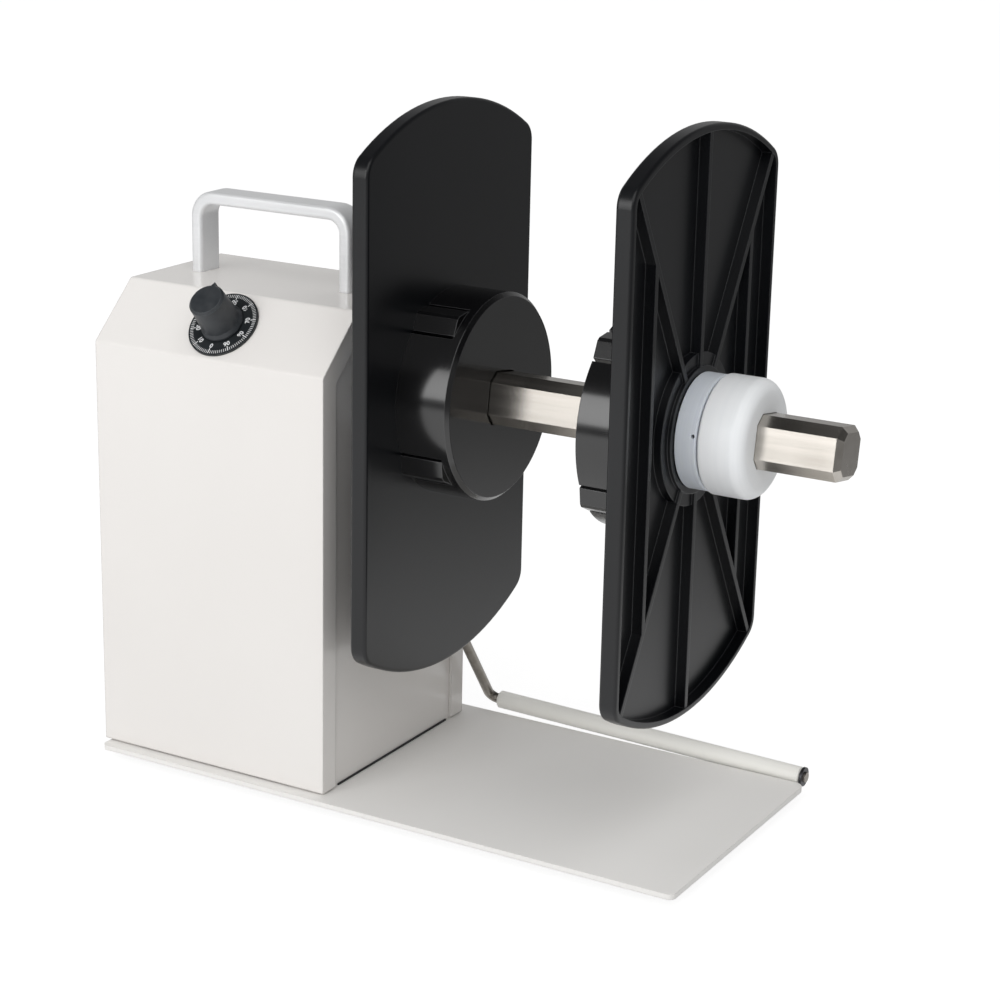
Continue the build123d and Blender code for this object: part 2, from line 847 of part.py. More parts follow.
with BuildPart() as bearing_balls:
    for start in bearing_starts:
        for number in range(ball_count):
            angle = 2 * pi * number / ball_count
            with Locations(
                (
                    start + bearing_width / 2,
                    y_axis + ball_pitch_radius * cos(angle),
                    z_axis + ball_pitch_radius * sin(angle),
                )
            ):
                Sphere(ball_radius)
bearing_balls.part.label = "bearing_balls"
export_step(bearing_balls.part, "parts/bearing_balls.step")

# ---------------------------------------------------------------------------------------------
# Spindle
# ---------------------------------------------------------------------------------------------

with BuildPart() as spindle:
    extrude(bar_outline(x_face + shoulder_reach, 0), amount=bar_reach - shoulder_reach)
    chamfer(spindle.faces().sort_by(Axis.X)[-1].edges(), bar_tip)
    revolve(
        outline(
            spindle_lathe,
            [
                (x_stub - stub_length, 0),
                (x_stub - stub_length, stub_radius),
                (x_stub, stub_radius),
                (x_stub, journal_radius),
                (x_panel, journal_radius),
                (x_panel, shoulder_radius),
                (x_face + shoulder_reach, shoulder_radius),
                (x_face + shoulder_reach, 0),
            ],
        ),
        axis=spindle_axis,
    )
spindle.part.label = "spindle"
export_step(spindle.part, "parts/spindle.step")

# ---------------------------------------------------------------------------------------------
# Flanges, hubs and bushes
# ---------------------------------------------------------------------------------------------


def flange_outline(plane, inset):
    """Flange outline: upright sides and round ends, with rounded corners."""
    with BuildSketch(plane) as drawn:
        Circle(flange_radius - inset)
        Rectangle(2 * (flange_half_width - inset), 3 * flange_radius, mode=Mode.INTERSECT)
        fillet(drawn.vertices(), flange_corner - inset)
    return drawn.sketch


def rib_outline(plane):
    """Slanting, upright and chord ribs on the back of a flange."""
    rib_length = flange_radius - flange_bore
    rib_middle = flange_bore + rib_length / 2
    chord_length = 2 * chord_offset * tan(radians(rib_angle))
    with BuildSketch(plane) as drawn:
        for angle in (rib_angle, 90, 180 - rib_angle, 180 + rib_angle, 270, 360 - rib_angle):
            with Locations(Location((0, 0, 0), (0, 0, angle))):
                with Locations((rib_middle, 0)):
                    Rectangle(rib_length, rib_thickness)
        with Locations((-chord_offset, 0), (chord_offset, 0)):
            Rectangle(rib_thickness, chord_length)
        add(flange_outline(Plane.XY, flange_rim / 2), mode=Mode.INTERSECT)
    return drawn.sketch


core_screw_circle = (flange_bore + ring_radius) / 2
core_screw_angles = [finger_turn + 45 + 90 * number for number in range(4)]


def core_screw_planes(plane):
    """Planes of the countersunk screws that hold a flange to its hub, under the flange's bush."""
    circle = [
        (
            core_screw_circle * cos(radians(angle)),
            core_screw_circle * sin(radians(angle)),
        )
        for angle in core_screw_angles
    ]
    return [
        Plane(origin=plane.from_local_coords((y, z, 0)), z_dir=plane.z_dir) for y, z in circle
    ]


def core_screw(place, gap):
    """One countersunk screw with its head flush in the plane, or its hole with a gap round it."""
    lathe = Plane(origin=place.origin, x_dir=place.z_dir, z_dir=(0, -1, 0))
    section = outline(
        lathe,
        [
            (0, 0),
            (0, core_screw_head_radius + gap),
            (-core_screw_head, core_screw_radius + gap),
            (-flange_thickness - core_screw_depth - gap, core_screw_radius + gap),
            (-flange_thickness - core_screw_depth - gap, 0),
        ],
    )
    with BuildPart() as screw:
        revolve(section, axis=Axis(place.origin, place.z_dir))
    return screw.part


def flange_body(x_smooth, back):
    """Moulded flange. back is the way its ribbed side faces along X: 1 or -1."""
    smooth = Plane(origin=(x_smooth, y_axis, z_axis), x_dir=(0, 1, 0), z_dir=(back, 0, 0))
    floor = smooth.offset(flange_floor)
    rim = smooth.offset(flange_thickness)
    with BuildPart() as flange:
        extrude(flange_outline(smooth, 0), amount=flange_thickness)
        ends = flange.faces().filter_by(Plane.YZ)
        fillet(ends.edges(), flange_edge)
        extrude(
            flange_outline(floor, flange_rim),
            amount=flange_thickness - flange_floor,
            mode=Mode.SUBTRACT,
        )
        extrude(rib_outline(floor), amount=rib_height)
        extrude(disc(floor, boss_foot_radius), amount=boss_foot_height)
        extrude(disc(floor, boss_radius), amount=flange_thickness - flange_floor)
        drill(smooth, flange_bore, flange_thickness)
        for place in core_screw_planes(rim):
            add(core_screw(place, thread_gap), mode=Mode.SUBTRACT)
    return flange.part


def hub_body(x_open, screw_plane):
    """Core hub: a cup, closed at its outer end, with four springy fingers cut in its wall."""
    x_closed = x_open + hub_length
    finger_length = hub_length - slot_stop
    with BuildPart() as hub:
        revolve(
            outline(
                spindle_lathe,
                [
                    (x_open, hub_radius - hub_wall),
                    (x_open, hub_radius),
                    (x_closed - hub_edge, hub_radius),
                    (x_closed, hub_radius - hub_edge),
                    (x_closed, 0),
                    (x_open, 0),
                    (x_open, hub_core_radius),
                    (x_closed - hub_disc, hub_core_radius),
                    (x_closed - hub_disc, hub_radius - hub_wall),
                ],
            ),
            axis=spindle_axis,
        )
        for number in range(finger_count):
            middle = finger_turn + 360 * number / finger_count
            with BuildSketch(across(x_open, middle)):
                with BuildLine():
                    spread = hub_radius * sin(radians(finger_half_angle))
                    foot = hub_radius * cos(radians(finger_half_angle))
                    Polyline(
                        (foot - hub_wall, -spread),
                        (foot, -spread),
                        (hub_radius + finger_ridge, -finger_ridge_width / 2),
                        (hub_radius + finger_ridge, finger_ridge_width / 2),
                        (foot, spread),
                        (foot - hub_wall, spread),
                        close=True,
                    )
                make_face()
            extrude(amount=finger_length)
        for number in range(finger_count):
            middle = finger_turn + 360 * number / finger_count
            for side in (-finger_half_angle, finger_half_angle):
                with BuildSketch(across(x_open, middle + side)):
                    with Locations((hub_radius, 0)):
                        Rectangle(4 * hub_wall, slot_width)
                extrude(amount=finger_length, mode=Mode.SUBTRACT)
        extrude(bar_outline(x_open, bore_gap), amount=hub_length, mode=Mode.SUBTRACT)
        for place in core_screw_planes(screw_plane):
            add(core_screw(place, thread_gap), mode=Mode.SUBTRACT)
    return hub.part


def bush_body(x_seat, outward):
    """Nylon bush: a ring on the flange's back, and a sleeve through the flange's bore."""
    ring_start = x_seat + outward * seat_gap
    ring_end = ring_start + outward * ring_length
    sleeve_end = x_seat - outward * (flange_thickness - seat_gap)
    with BuildPart() as bush:
        revolve(
            outline(
                spindle_lathe,
                [
                    (sleeve_end, 0),
                    (sleeve_end, flange_bore - press_gap),
                    (ring_start, flange_bore - press_gap),
                    (ring_start, ring_radius - ring_edge / 2),
                    (ring_start + outward * ring_edge / 2, ring_radius),
                    (ring_end - outward * ring_edge, ring_radius),
                    (ring_end, ring_radius - ring_edge),
                    (ring_end, 0),
                ],
            ),
            axis=spindle_axis,
        )
        low = min(sleeve_end, ring_end)
        extrude(
            bar_outline(low, bore_gap), amount=flange_thickness + ring_length, mode=Mode.SUBTRACT
        )
        grub_plane = grub_seat(ring_end - outward * bush_grub_inset, 2)
        drill(grub_plane, bush_grub_radius + thread_gap, ring_radius)
    return bush.part


inner_back_plane = Plane(origin=(x_inner_flange, y_axis, z_axis), x_dir=(0, 1, 0), z_dir=(-1, 0, 0))
outer_back_plane = Plane(
    origin=(x_outer_flange + flange_thickness, y_axis, z_axis), x_dir=(0, 1, 0), z_dir=(1, 0, 0)
)

with BuildPart() as inner_flange:
    add(flange_body(x_inner_hub, -1))
inner_flange.part.label = "inner_flange"
export_step(inner_flange.part, "parts/inner_flange.step")

with BuildPart() as inner_hub:
    add(hub_body(x_inner_hub, inner_back_plane))
inner_hub.part.label = "inner_hub"
export_step(inner_hub.part, "parts/inner_hub.step")

with BuildPart() as inner_hub_screws:
    for place in core_screw_planes(inner_back_plane):
        add(core_screw(place, 0))
inner_hub_screws.part.label = "inner_hub_screws"
export_step(inner_hub_screws.part, "parts/inner_hub_screws.step")

with BuildPart() as inner_bush:
    add(bush_body(x_inner_flange, -1))
inner_bush.part.label = "inner_bush"
export_step(inner_bush.part, "parts/inner_bush.step")

with BuildPart() as outer_flange:
    add(flange_body(x_outer_flange, 1))
outer_flange.part.label = "outer_flange"
export_step(outer_flange.part, "parts/outer_flange.step")

with BuildPart() as outer_hub:
    add(hub_body(x_outer_hub, outer_back_plane))
outer_hub.part.label = "outer_hub"
export_step(outer_hub.part, "parts/outer_hub.step")

with BuildPart() as outer_hub_screws:
    for place in core_screw_planes(outer_back_plane):
        add(core_screw(place, 0))
outer_hub_screws.part.label = "outer_hub_screws"
export_step(outer_hub_screws.part, "parts/outer_hub_screws.step")

with BuildPart() as flange_bush:
    add(bush_body(x_outer_flange + flange_thickness, 1))
flange_bush.part.label = "flange_bush"
export_step(flange_bush.part, "parts/flange_bush.step")

collar_start = x_collar + collar_neck
collar_end = collar_start + collar_length
with BuildPart() as locking_collar:
    with BuildSketch(spindle_lathe) as collar_section:
        with BuildLine():
            Polyline(
                (x_collar, 0),
                (x_collar, collar_neck_radius),
                (collar_start, collar_neck_radius),
                (collar_start, collar_radius),
                (collar_end, collar_radius),
                (collar_end, 0),
                close=True,
            )
        make_face()
        rim_points = collar_section.vertices().group_by(Axis.Y)[-1].sort_by(Axis.X)
        fillet(rim_points[-1], collar_round)
        rim_points = collar_section.vertices().filter_by(
            lambda v: abs(v.X - collar_start) < press_gap and v.Y > collar_neck_radius + press_gap
        )
        fillet(rim_points, collar_edge)
    revolve(axis=spindle_axis)
    extrude(
        bar_outline(x_collar, collar_bore_gap), amount=collar_neck + collar_length, mode=Mode.SUBTRACT
    )
    collar_grub_plane = grub_seat(collar_start + collar_length / 2, 3)
    drill(collar_grub_plane, grub_radius + thread_gap, collar_radius)
locking_collar.part.label = "locking_collar"
export_step(locking_collar.part, "parts/locking_collar.step")

grub_foot = bar_flats / 2 + sleeve_gap
with BuildPart() as collar_set_screw:
    extrude(
        disc(collar_grub_plane.offset(grub_foot), grub_radius),
        amount=collar_radius - grub_foot - grub_sink,
    )
collar_set_screw.part.label = "collar_set_screw"
export_step(collar_set_screw.part, "parts/collar_set_screw.step")

with BuildPart() as bush_set_screw:
    bush_grub_plane = grub_seat(x_ring + ring_length - bush_grub_inset, 2)
    extrude(
        disc(bush_grub_plane.offset(grub_foot), bush_grub_radius),
        amount=ring_radius - grub_foot - grub_sink,
    )
bush_set_screw.part.label = "bush_set_screw"
export_step(bush_set_screw.part, "parts/bush_set_screw.step")

with BuildPart() as inner_bush_set_screw:
    x_inner_grub = x_inner_flange - seat_gap - ring_length + bush_grub_inset
    inner_grub_plane = grub_seat(x_inner_grub, 2)
    extrude(
        disc(inner_grub_plane.offset(grub_foot), bush_grub_radius),
        amount=ring_radius - grub_foot - grub_sink,
    )
inner_bush_set_screw.part.label = "inner_bush_set_screw"
export_step(inner_bush_set_screw.part, "parts/inner_bush_set_screw.step")

# ---------------------------------------------------------------------------------------------
# Drive
# ---------------------------------------------------------------------------------------------

x_coupling_end = x_coupling - coupling_length
x_stub_end = x_stub - stub_length
x_shaft_start = x_stub_end - shaft_gap
coupling_grub_x = (x_coupling - coupling_grub_inset, x_coupling_end + coupling_grub_inset)
coupling_grub_foot = (stub_radius + thread_gap, motor_shaft_radius + thread_gap)

with BuildPart() as shaft_coupling:
    revolve(
        tube_outline(spindle_lathe, x_coupling_end, x_coupling, 0, coupling_radius), axis=spindle_axis
    )
    chamfer(shaft_coupling.edges().filter_by(GeomType.CIRCLE), coupling_edge)
    revolve(
        tube_outline(
            spindle_lathe, x_stub_end - shaft_gap / 2, x_coupling, 0, stub_radius + press_gap
        ),
        axis=spindle_axis,
        mode=Mode.SUBTRACT,
    )
    revolve(
        tube_outline(spindle_lathe, x_coupling_end, x_coupling, 0, motor_shaft_radius + press_gap),
        axis=spindle_axis,
        mode=Mode.SUBTRACT,
    )
    for x in coupling_grub_x:
        drill(grub_seat(x, 1), screw_radius + thread_gap, coupling_radius)
shaft_coupling.part.label = "shaft_coupling"
export_step(shaft_coupling.part, "parts/shaft_coupling.step")

with BuildPart() as coupling_screws:
    for x, foot in zip(coupling_grub_x, coupling_grub_foot):
        seat = grub_seat(x, 1).offset(foot)
        extrude(disc(seat, screw_radius), amount=coupling_radius - foot - coupling_edge)
coupling_screws.part.label = "coupling_screws"
export_step(coupling_screws.part, "parts/coupling_screws.step")

with BuildPart() as motor_spacers:
    for y, z in spacer_spots:
        place = Plane(origin=(x_panel, y, z), z_dir=(-1, 0, 0))
        with BuildSketch(place):
            RegularPolygon(spacer_radius, 6, major_radius=False)
            Circle(screw_radius + thread_gap, mode=Mode.SUBTRACT)
        extrude(amount=spacer_length)
motor_spacers.part.label = "motor_spacers"
export_step(motor_spacers.part, "parts/motor_spacers.step")

with BuildPart() as spacer_screws:
    outer_spots = [(x_panel + panel_sheet, y, z) for y, z in spacer_spots]
    inner_spots = [(x_gearbox, y, z) for y, z in spacer_spots]
    pan_screws(screw_planes(outer_spots, (1, 0, 0)), spacer_screw_length)
    pan_screws(screw_planes(inner_spots, (-1, 0, 0)), spacer_screw_length)
spacer_screws.part.label = "spacer_screws"
export_step(spacer_screws.part, "parts/spacer_screws.step")

with BuildPart() as motor_plate:
    with BuildSketch(across(x_gearbox)):
        RectangleRounded(motor_plate_width, motor_plate_height, motor_plate_corner)
        Circle(gearbox_pilot + thread_gap, mode=Mode.SUBTRACT)
        with GridLocations(2 * spacer_across, 2 * spacer_up, 2, 2):
            Circle(screw_radius + thread_gap, mode=Mode.SUBTRACT)
        with PolarLocations(motor_screw_circle, 4):
            Circle(screw_radius + thread_gap, mode=Mode.SUBTRACT)
    extrude(amount=motor_plate_sheet)
motor_plate.part.label = "motor_plate"
export_step(motor_plate.part, "parts/motor_plate.step")

motor_shaft_end = x_shaft_start - motor_shaft_length
with BuildPart() as gearbox:
    revolve(
        tube_outline(spindle_lathe, x_gearbox - gearbox_length, x_gearbox, 0, gearbox_radius),
        axis=spindle_axis,
    )
    chamfer(gearbox.edges().filter_by(GeomType.CIRCLE), gearbox_edge)
    revolve(
        tube_outline(
            spindle_lathe, x_gearbox - gearbox_edge, x_gearbox + motor_plate_sheet, 0, gearbox_pilot
        ),
        axis=spindle_axis,
    )
    revolve(
        tube_outline(
            spindle_lathe,
            motor_shaft_end - seat_gap,
            x_gearbox + motor_plate_sheet,
            0,
            motor_shaft_radius + running_gap,
        ),
        axis=spindle_axis,
        mode=Mode.SUBTRACT,
    )
    for y, z in motor_screw_spots:
        place = Plane(origin=(x_gearbox, y, z), z_dir=(1, 0, 0))
        drill(place, screw_radius + thread_gap, -motor_screw_depth - motor_screw_spare)
gearbox.part.label = "gearbox"
export_step(gearbox.part, "parts/gearbox.step")

with BuildPart() as motor_screws:
    motor_screw_planes = screw_planes(
        [(x_gearbox + motor_plate_sheet, y, z) for y, z in motor_screw_spots], (1, 0, 0)
    )
    pan_screws(motor_screw_planes, motor_plate_sheet + motor_screw_depth)
motor_screws.part.label = "motor_screws"
export_step(motor_screws.part, "parts/motor_screws.step")

with BuildPart() as motor_shaft:
    revolve(
        tube_outline(spindle_lathe, motor_shaft_end, x_shaft_start, 0, motor_shaft_radius),
        axis=spindle_axis,
    )
motor_shaft.part.label = "motor_shaft"
export_step(motor_shaft.part, "parts/motor_shaft.step")

x_motor = x_gearbox - gearbox_length
x_motor_end = x_left_panel + motor_gap + motor_boss
with BuildPart() as motor:
    revolve(tube_outline(spindle_lathe, x_motor_end, x_motor, 0, motor_radius), axis=spindle_axis)
    chamfer(motor.edges().filter_by(GeomType.CIRCLE).sort_by(Axis.X)[0], motor_edge)
    revolve(
        tube_outline(spindle_lathe, x_motor_end - motor_boss, x_motor_end, 0, motor_boss_radius),
        axis=spindle_axis,
    )
motor.part.label = "motor"
export_step(motor.part, "parts/motor.step")

# ---------------------------------------------------------------------------------------------
# Tension arm, guide roller and arm sensor
# ---------------------------------------------------------------------------------------------

washer_start = roller_start + roller_length + washer_gap
rod_length = washer_start + washer_thickness + rod_tip
rod_end = tuple(c + rod_length * d for c, d in zip(roller_corner, roller_along))
with BuildPart() as tension_arm:
    with BuildLine() as rod_line:
        FilletPolyline(
            (x_face - arm_inboard, y_pivot, z_pivot),
            (x_face + arm_stand, y_pivot, z_pivot),
            roller_corner,
            rod_end,
            radius=arm_bend,
        )
    with BuildSketch(Plane(origin=rod_line.line @ 0, z_dir=rod_line.line % 0)):
        Circle(arm_rod_radius)
    sweep()
tension_arm.part.label = "tension_arm"
export_step(tension_arm.part, "parts/tension_arm.step")

with BuildPart() as guide_roller:
    revolve(
        outline(
            roller_lathe,
            [
                (roller_start, arm_rod_radius + running_gap),
                (roller_start, roller_radius - roller_edge),
                (roller_start + roller_edge, roller_radius),
                (roller_start + roller_length - roller_edge, roller_radius),
                (roller_start + roller_length, roller_radius - roller_edge),
                (roller_start + roller_length, arm_rod_radius + running_gap),
            ],
        ),
        axis=roller_axis,
    )
guide_roller.part.label = "guide_roller"
export_step(guide_roller.part, "parts/guide_roller.step")

with BuildPart() as roller_washer:
    revolve(
        tube_outline(
            roller_lathe,
            washer_start,
            washer_start + washer_thickness,
            arm_rod_radius + press_gap,
            washer_radius,
        ),
        axis=roller_axis,
    )
roller_washer.part.label = "roller_washer"
export_step(roller_washer.part, "parts/roller_washer.step")

with BuildPart() as arm_bush:
    revolve(
        outline(
            arm_lathe,
            [
                (x_panel - arm_bush_head_length, arm_rod_radius + running_gap),
                (x_panel - arm_bush_head_length, arm_bush_head),
                (x_panel, arm_bush_head),
                (x_panel, arm_bush_radius),
                (x_face - sheet, arm_bush_radius),
                (x_face - sheet, arm_rod_radius + running_gap),
            ],
        ),
        axis=arm_axis,
    )
arm_bush.part.label = "arm_bush"
export_step(arm_bush.part, "parts/arm_bush.step")

x_arm_collar = x_panel - arm_bush_head_length - sleeve_gap
with BuildPart() as arm_collar:
    x_lug = x_arm_collar - arm_collar_length
    revolve(
        tube_outline(arm_lathe, x_lug, x_arm_collar, 0, arm_collar_radius),
        axis=arm_axis,
    )
    block(
        (x_lug, y_pivot - lug_length, z_pivot - lug_thickness / 2),
        (x_arm_collar, y_pivot, z_pivot + lug_thickness / 2),
    )
    revolve(
        tube_outline(arm_lathe, x_lug, x_arm_collar, 0, arm_rod_radius + press_gap),
        axis=arm_axis,
        mode=Mode.SUBTRACT,
    )
arm_collar.part.label = "arm_collar"
export_step(arm_collar.part, "parts/arm_collar.step")

with BuildPart() as arm_stop_pin:
    stop_y = y_pivot - lug_length + stop_pin_radius + stop_pin_inset
    stop_z = z_pivot + lug_thickness / 2 + stop_gap + stop_pin_radius
    place = Plane(origin=(x_panel, stop_y, stop_z), z_dir=(-1, 0, 0))
    extrude(disc(place, stop_pin_radius), amount=arm_bush_head_length + arm_collar_length)
arm_stop_pin.part.label = "arm_stop_pin"
export_step(arm_stop_pin.part, "parts/arm_stop_pin.step")

x_bracket = x_panel - panel_flange - seat_gap
with BuildPart() as sensor_bracket:
    bracket_low_y = y_pivot - bracket_width / 2
    bracket_high_y = min(y_pivot + bracket_width / 2, y_rear - panel_inset - panel_sheet - seat_gap)
    block(
        (x_bracket - bracket_sheet, bracket_low_y, z_plate),
        (x_bracket, bracket_high_y, z_pivot + bracket_top),
    )
    block(
        (x_bracket - bracket_foot, bracket_low_y, z_plate),
        (x_bracket, bracket_high_y, z_plate + bracket_sheet),
    )
    place = Plane(origin=(x_bracket, y_pivot, z_pivot), z_dir=(-1, 0, 0))
    drill(place, arm_rod_radius + sleeve_gap, bracket_sheet)
sensor_bracket.part.label = "sensor_bracket"
export_step(sensor_bracket.part, "parts/sensor_bracket.step")

with BuildPart() as arm_sensor:
    x_sensor = x_bracket - bracket_sheet
    revolve(
        tube_outline(arm_lathe, x_sensor - sensor_length, x_sensor, 0, sensor_radius), axis=arm_axis
    )
    revolve(
        tube_outline(
            arm_lathe, x_face - arm_inboard - seat_gap, x_sensor, 0, arm_rod_radius + running_gap
        ),
        axis=arm_axis,
        mode=Mode.SUBTRACT,
    )
arm_sensor.part.label = "arm_sensor"
export_step(arm_sensor.part, "parts/arm_sensor.step")

# ---------------------------------------------------------------------------------------------
# Rear fittings: direction switch and power inlet
# ---------------------------------------------------------------------------------------------

with BuildPart() as switch_body:
    block(
        (switch_x - switch_width / 2, y_rear, switch_z - switch_height / 2),
        (switch_x + switch_width / 2, y_rear + switch_bezel, switch_z + switch_height / 2),
    )
    fillet(switch_body.edges().filter_by(Axis.Y), switch_corner)
    body_low_x = switch_x - switch_body_width / 2
    body_low_z = switch_z - switch_body_height / 2
    block(
        (body_low_x, y_rear - switch_body_depth, body_low_z),
        (body_low_x + switch_body_width, y_rear, body_low_z + switch_body_height),
    )
    well_half_width = rocker_width / 2 + sleeve_gap
    well_half_height = rocker_height / 2 + 2 * sleeve_gap
    block_depth = rocker_thickness + switch_bezel
    bezel_face = (switch_x, y_rear + switch_bezel, switch_z)
    with BuildSketch(Plane(origin=bezel_face, x_dir=(1, 0, 0), z_dir=(0, 1, 0))):
        Rectangle(2 * well_half_width, 2 * well_half_height)
    extrude(amount=-block_depth, mode=Mode.SUBTRACT)
switch_body.part.label = "switch_body"
export_step(switch_body.part, "parts/switch_body.step")

rocker_pivot_y = y_rear + switch_bezel - rocker_thickness / 2
rocker_back_y = rocker_pivot_y - rocker_thickness / 4
rocker_face_y = rocker_pivot_y + rocker_thickness / 2
rocker_tip_z = rocker_height / 2 - rocker_edge
with BuildPart() as switch_rocker:
    with BuildSketch(Plane.YZ.offset(switch_x - rocker_width / 2)):
        with BuildLine():
            Polyline(
                (rocker_back_y, switch_z - rocker_height / 4),
                (rocker_back_y, switch_z + rocker_height / 4),
                (rocker_pivot_y, switch_z + rocker_height / 2),
                (rocker_face_y + rocker_proud, switch_z + rocker_tip_z),
                (rocker_face_y + rocker_proud / 3, switch_z),
                (rocker_face_y + rocker_proud, switch_z - rocker_tip_z),
                (rocker_pivot_y, switch_z - rocker_height / 2),
                close=True,
            )
        make_face()
    extrude(amount=rocker_width)
switch_rocker.part.label = "switch_rocker"
export_step(switch_rocker.part, "parts/switch_rocker.step")

inlet_axis = Axis(inlet_centre, (0, 1, 0))
inlet_lathe = Plane(origin=inlet_centre, x_dir=(0, 1, 0), z_dir=(-1, 0, 0))
with BuildPart() as dc_inlet:
    revolve(
        outline(
            inlet_lathe,
            [
                (inlet_head, inlet_bore),
                (inlet_head, inlet_head_radius),
                (0, inlet_head_radius),
                (0, inlet_radius),
                (-inlet_depth, inlet_radius),
                (-inlet_depth, 0),
                (-inlet_depth + inlet_floor, 0),
                (-inlet_depth + inlet_floor, inlet_bore),
            ],
        ),
        axis=inlet_axis,
    )
    pin_start = -inlet_depth + inlet_floor / 2
    revolve(tube_outline(inlet_lathe, pin_start, -inlet_pin_drop, 0, inlet_pin), axis=inlet_axis)
dc_inlet.part.label = "dc_inlet"
export_step(dc_inlet.part, "parts/dc_inlet.step")

with BuildPart() as inlet_nut:
    with BuildSketch(Plane(origin=(inlet_x, y_rear - sheet, inlet_z), z_dir=(0, -1, 0))):
        RegularPolygon(inlet_nut_flats / 2, 6, major_radius=False)
        Circle(inlet_radius + press_gap, mode=Mode.SUBTRACT)
    extrude(amount=inlet_nut_height)
inlet_nut.part.label = "inlet_nut"
export_step(inlet_nut.part, "parts/inlet_nut.step")

# ---------------------------------------------------------------------------------------------
# Control board
# ---------------------------------------------------------------------------------------------

board_right = x_face - board_from_face
board_left = x_left_panel + board_from_panel
board_front = y_front + board_back
board_rear = board_front + board_width
z_board = z_plate + board_spacer
board_spots = [
    (x, y)
    for x in (board_left + board_margin, board_right - board_margin)
    for y in (board_front + board_margin, board_rear - board_margin)
]

with BuildPart() as board_spacers:
    for x, y in board_spots:
        extrude(disc(Plane(origin=(x, y, z_plate)), board_spacer_radius), amount=board_spacer)
board_spacers.part.label = "board_spacers"
export_step(board_spacers.part, "parts/board_spacers.step")

with BuildPart() as control_board:
    block((board_left, board_front, z_board), (board_right, board_rear, z_board + board_thickness))
    fillet(control_board.edges().filter_by(Axis.Z), board_corner)
control_board.part.label = "control_board"
export_step(control_board.part, "parts/control_board.step")

z_parts = z_board + board_thickness


def component(left, front, length, width, height):
    """A block on the board, its front left corner that far from the board's own."""
    low = (board_left + left, board_front + front, z_parts)
    block(low, (low[0] + length, low[1] + width, z_parts + height))


with BuildPart() as board_components:
    component(terminal_margin, terminal_back, terminal_width, terminal_length, terminal_height)
    component(relay_left, terminal_margin, relay_length, relay_width, relay_height)
    component(chip_left, chip_back, chip_length, chip_width, chip_height)
    for number in range(2):
        x = board_right - capacitor_inset - number * capacitor_pitch
        place = Plane(origin=(x, board_rear - capacitor_front, z_parts))
        extrude(disc(place, capacitor_radius), amount=capacitor_height)
board_components.part.label = "board_components"
export_step(board_components.part, "parts/board_components.step")
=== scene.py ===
"""Looks of a motor-driven label rewinder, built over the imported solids.

Metres. +X runs along the spindle away from the housing, +Y to the rear, +Z up.
"""

import json
import math

import bmesh
import bpy
from mathutils import Matrix, Vector


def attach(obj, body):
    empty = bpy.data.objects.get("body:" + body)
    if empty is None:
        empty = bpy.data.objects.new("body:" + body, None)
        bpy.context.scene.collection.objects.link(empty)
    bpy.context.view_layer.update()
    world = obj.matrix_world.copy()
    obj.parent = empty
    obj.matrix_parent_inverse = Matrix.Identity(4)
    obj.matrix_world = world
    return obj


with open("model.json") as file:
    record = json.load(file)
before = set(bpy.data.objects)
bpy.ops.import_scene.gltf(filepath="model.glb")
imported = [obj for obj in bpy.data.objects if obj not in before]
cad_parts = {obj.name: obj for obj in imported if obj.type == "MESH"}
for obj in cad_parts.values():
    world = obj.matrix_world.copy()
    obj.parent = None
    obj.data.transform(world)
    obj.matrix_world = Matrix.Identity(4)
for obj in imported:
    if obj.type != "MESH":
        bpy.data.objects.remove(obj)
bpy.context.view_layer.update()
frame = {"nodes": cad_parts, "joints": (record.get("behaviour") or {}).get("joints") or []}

# ---------------------------------------------------------------------------------------------
# Base plate and feet
# ---------------------------------------------------------------------------------------------
# The plate that everything stands on: 2 mm sheet steel, sanded round its edges and powder coated
# in a warm light grey. Four moulded rubber feet are glued under its corners, and four screws
# come up through it into the housing.

mm = 0.001


def connect(tree, value, socket):
    """Wires a socket's value in, or sets a plain one."""
    if isinstance(value, bpy.types.NodeSocket):
        tree.links.new(value, socket)
    else:
        socket.default_value = value


def node(tree, kind, settings=None, **inputs):
    """A shader node with its settings, and its inputs by name."""
    made = tree.nodes.new("ShaderNode" + kind)
    for name, value in (settings or {}).items():
        setattr(made, name, value)
    for name, value in inputs.items():
        connect(tree, value, made.inputs[name.replace("_", " ").title()])
    return made


def calc(tree, operation, *values):
    """The result of a sum on one, two or three values."""
    made = node(tree, "Math", {"operation": operation})
    for value, socket in zip(values, made.inputs):
        connect(tree, value, socket)
    return made.outputs[0]


def mixed(tree, factor, first, second):
    """A colour between two, by a factor."""
    made = node(tree, "Mix", {"data_type": "RGBA"})
    for value, socket in ((factor, 0), (first, 6), (second, 7)):
        connect(tree, value, made.inputs[socket])
    return made.outputs[2]


def effect(name, inputs, outputs):
    """An empty node group for an effect that several finishes use, with its named sockets."""
    group = bpy.data.node_groups.new(name, "ShaderNodeTree")
    for label, kind, value in inputs:
        socket = group.interface.new_socket(label, in_out="INPUT", socket_type="NodeSocket" + kind)
        socket.default_value = value
    for label, kind in outputs:
        group.interface.new_socket(label, in_out="OUTPUT", socket_type="NodeSocket" + kind)
    return group, group.nodes.new("NodeGroupInput").outputs, group.nodes.new("NodeGroupOutput").inputs


# Soft patches and a fine grain, as on paint and moulded plastic
uneven_skin, given, result = effect(
    "uneven_skin",
    [("Patch", "Float", 30.0), ("Grain", "Float", 1500.0)],
    [("Tone", "Float"), ("Height", "Float")],
)
place = node(uneven_skin, "TexCoord").outputs["Object"]
patches = node(uneven_skin, "TexNoise", Vector=place, Scale=given["Patch"], Detail=3.0)
grains = node(uneven_skin, "TexNoise", Vector=place, Scale=given["Grain"], Detail=2.0)
connect(uneven_skin, patches.outputs[0], result["Tone"])
connect(uneven_skin, grains.outputs[0], result["Height"])

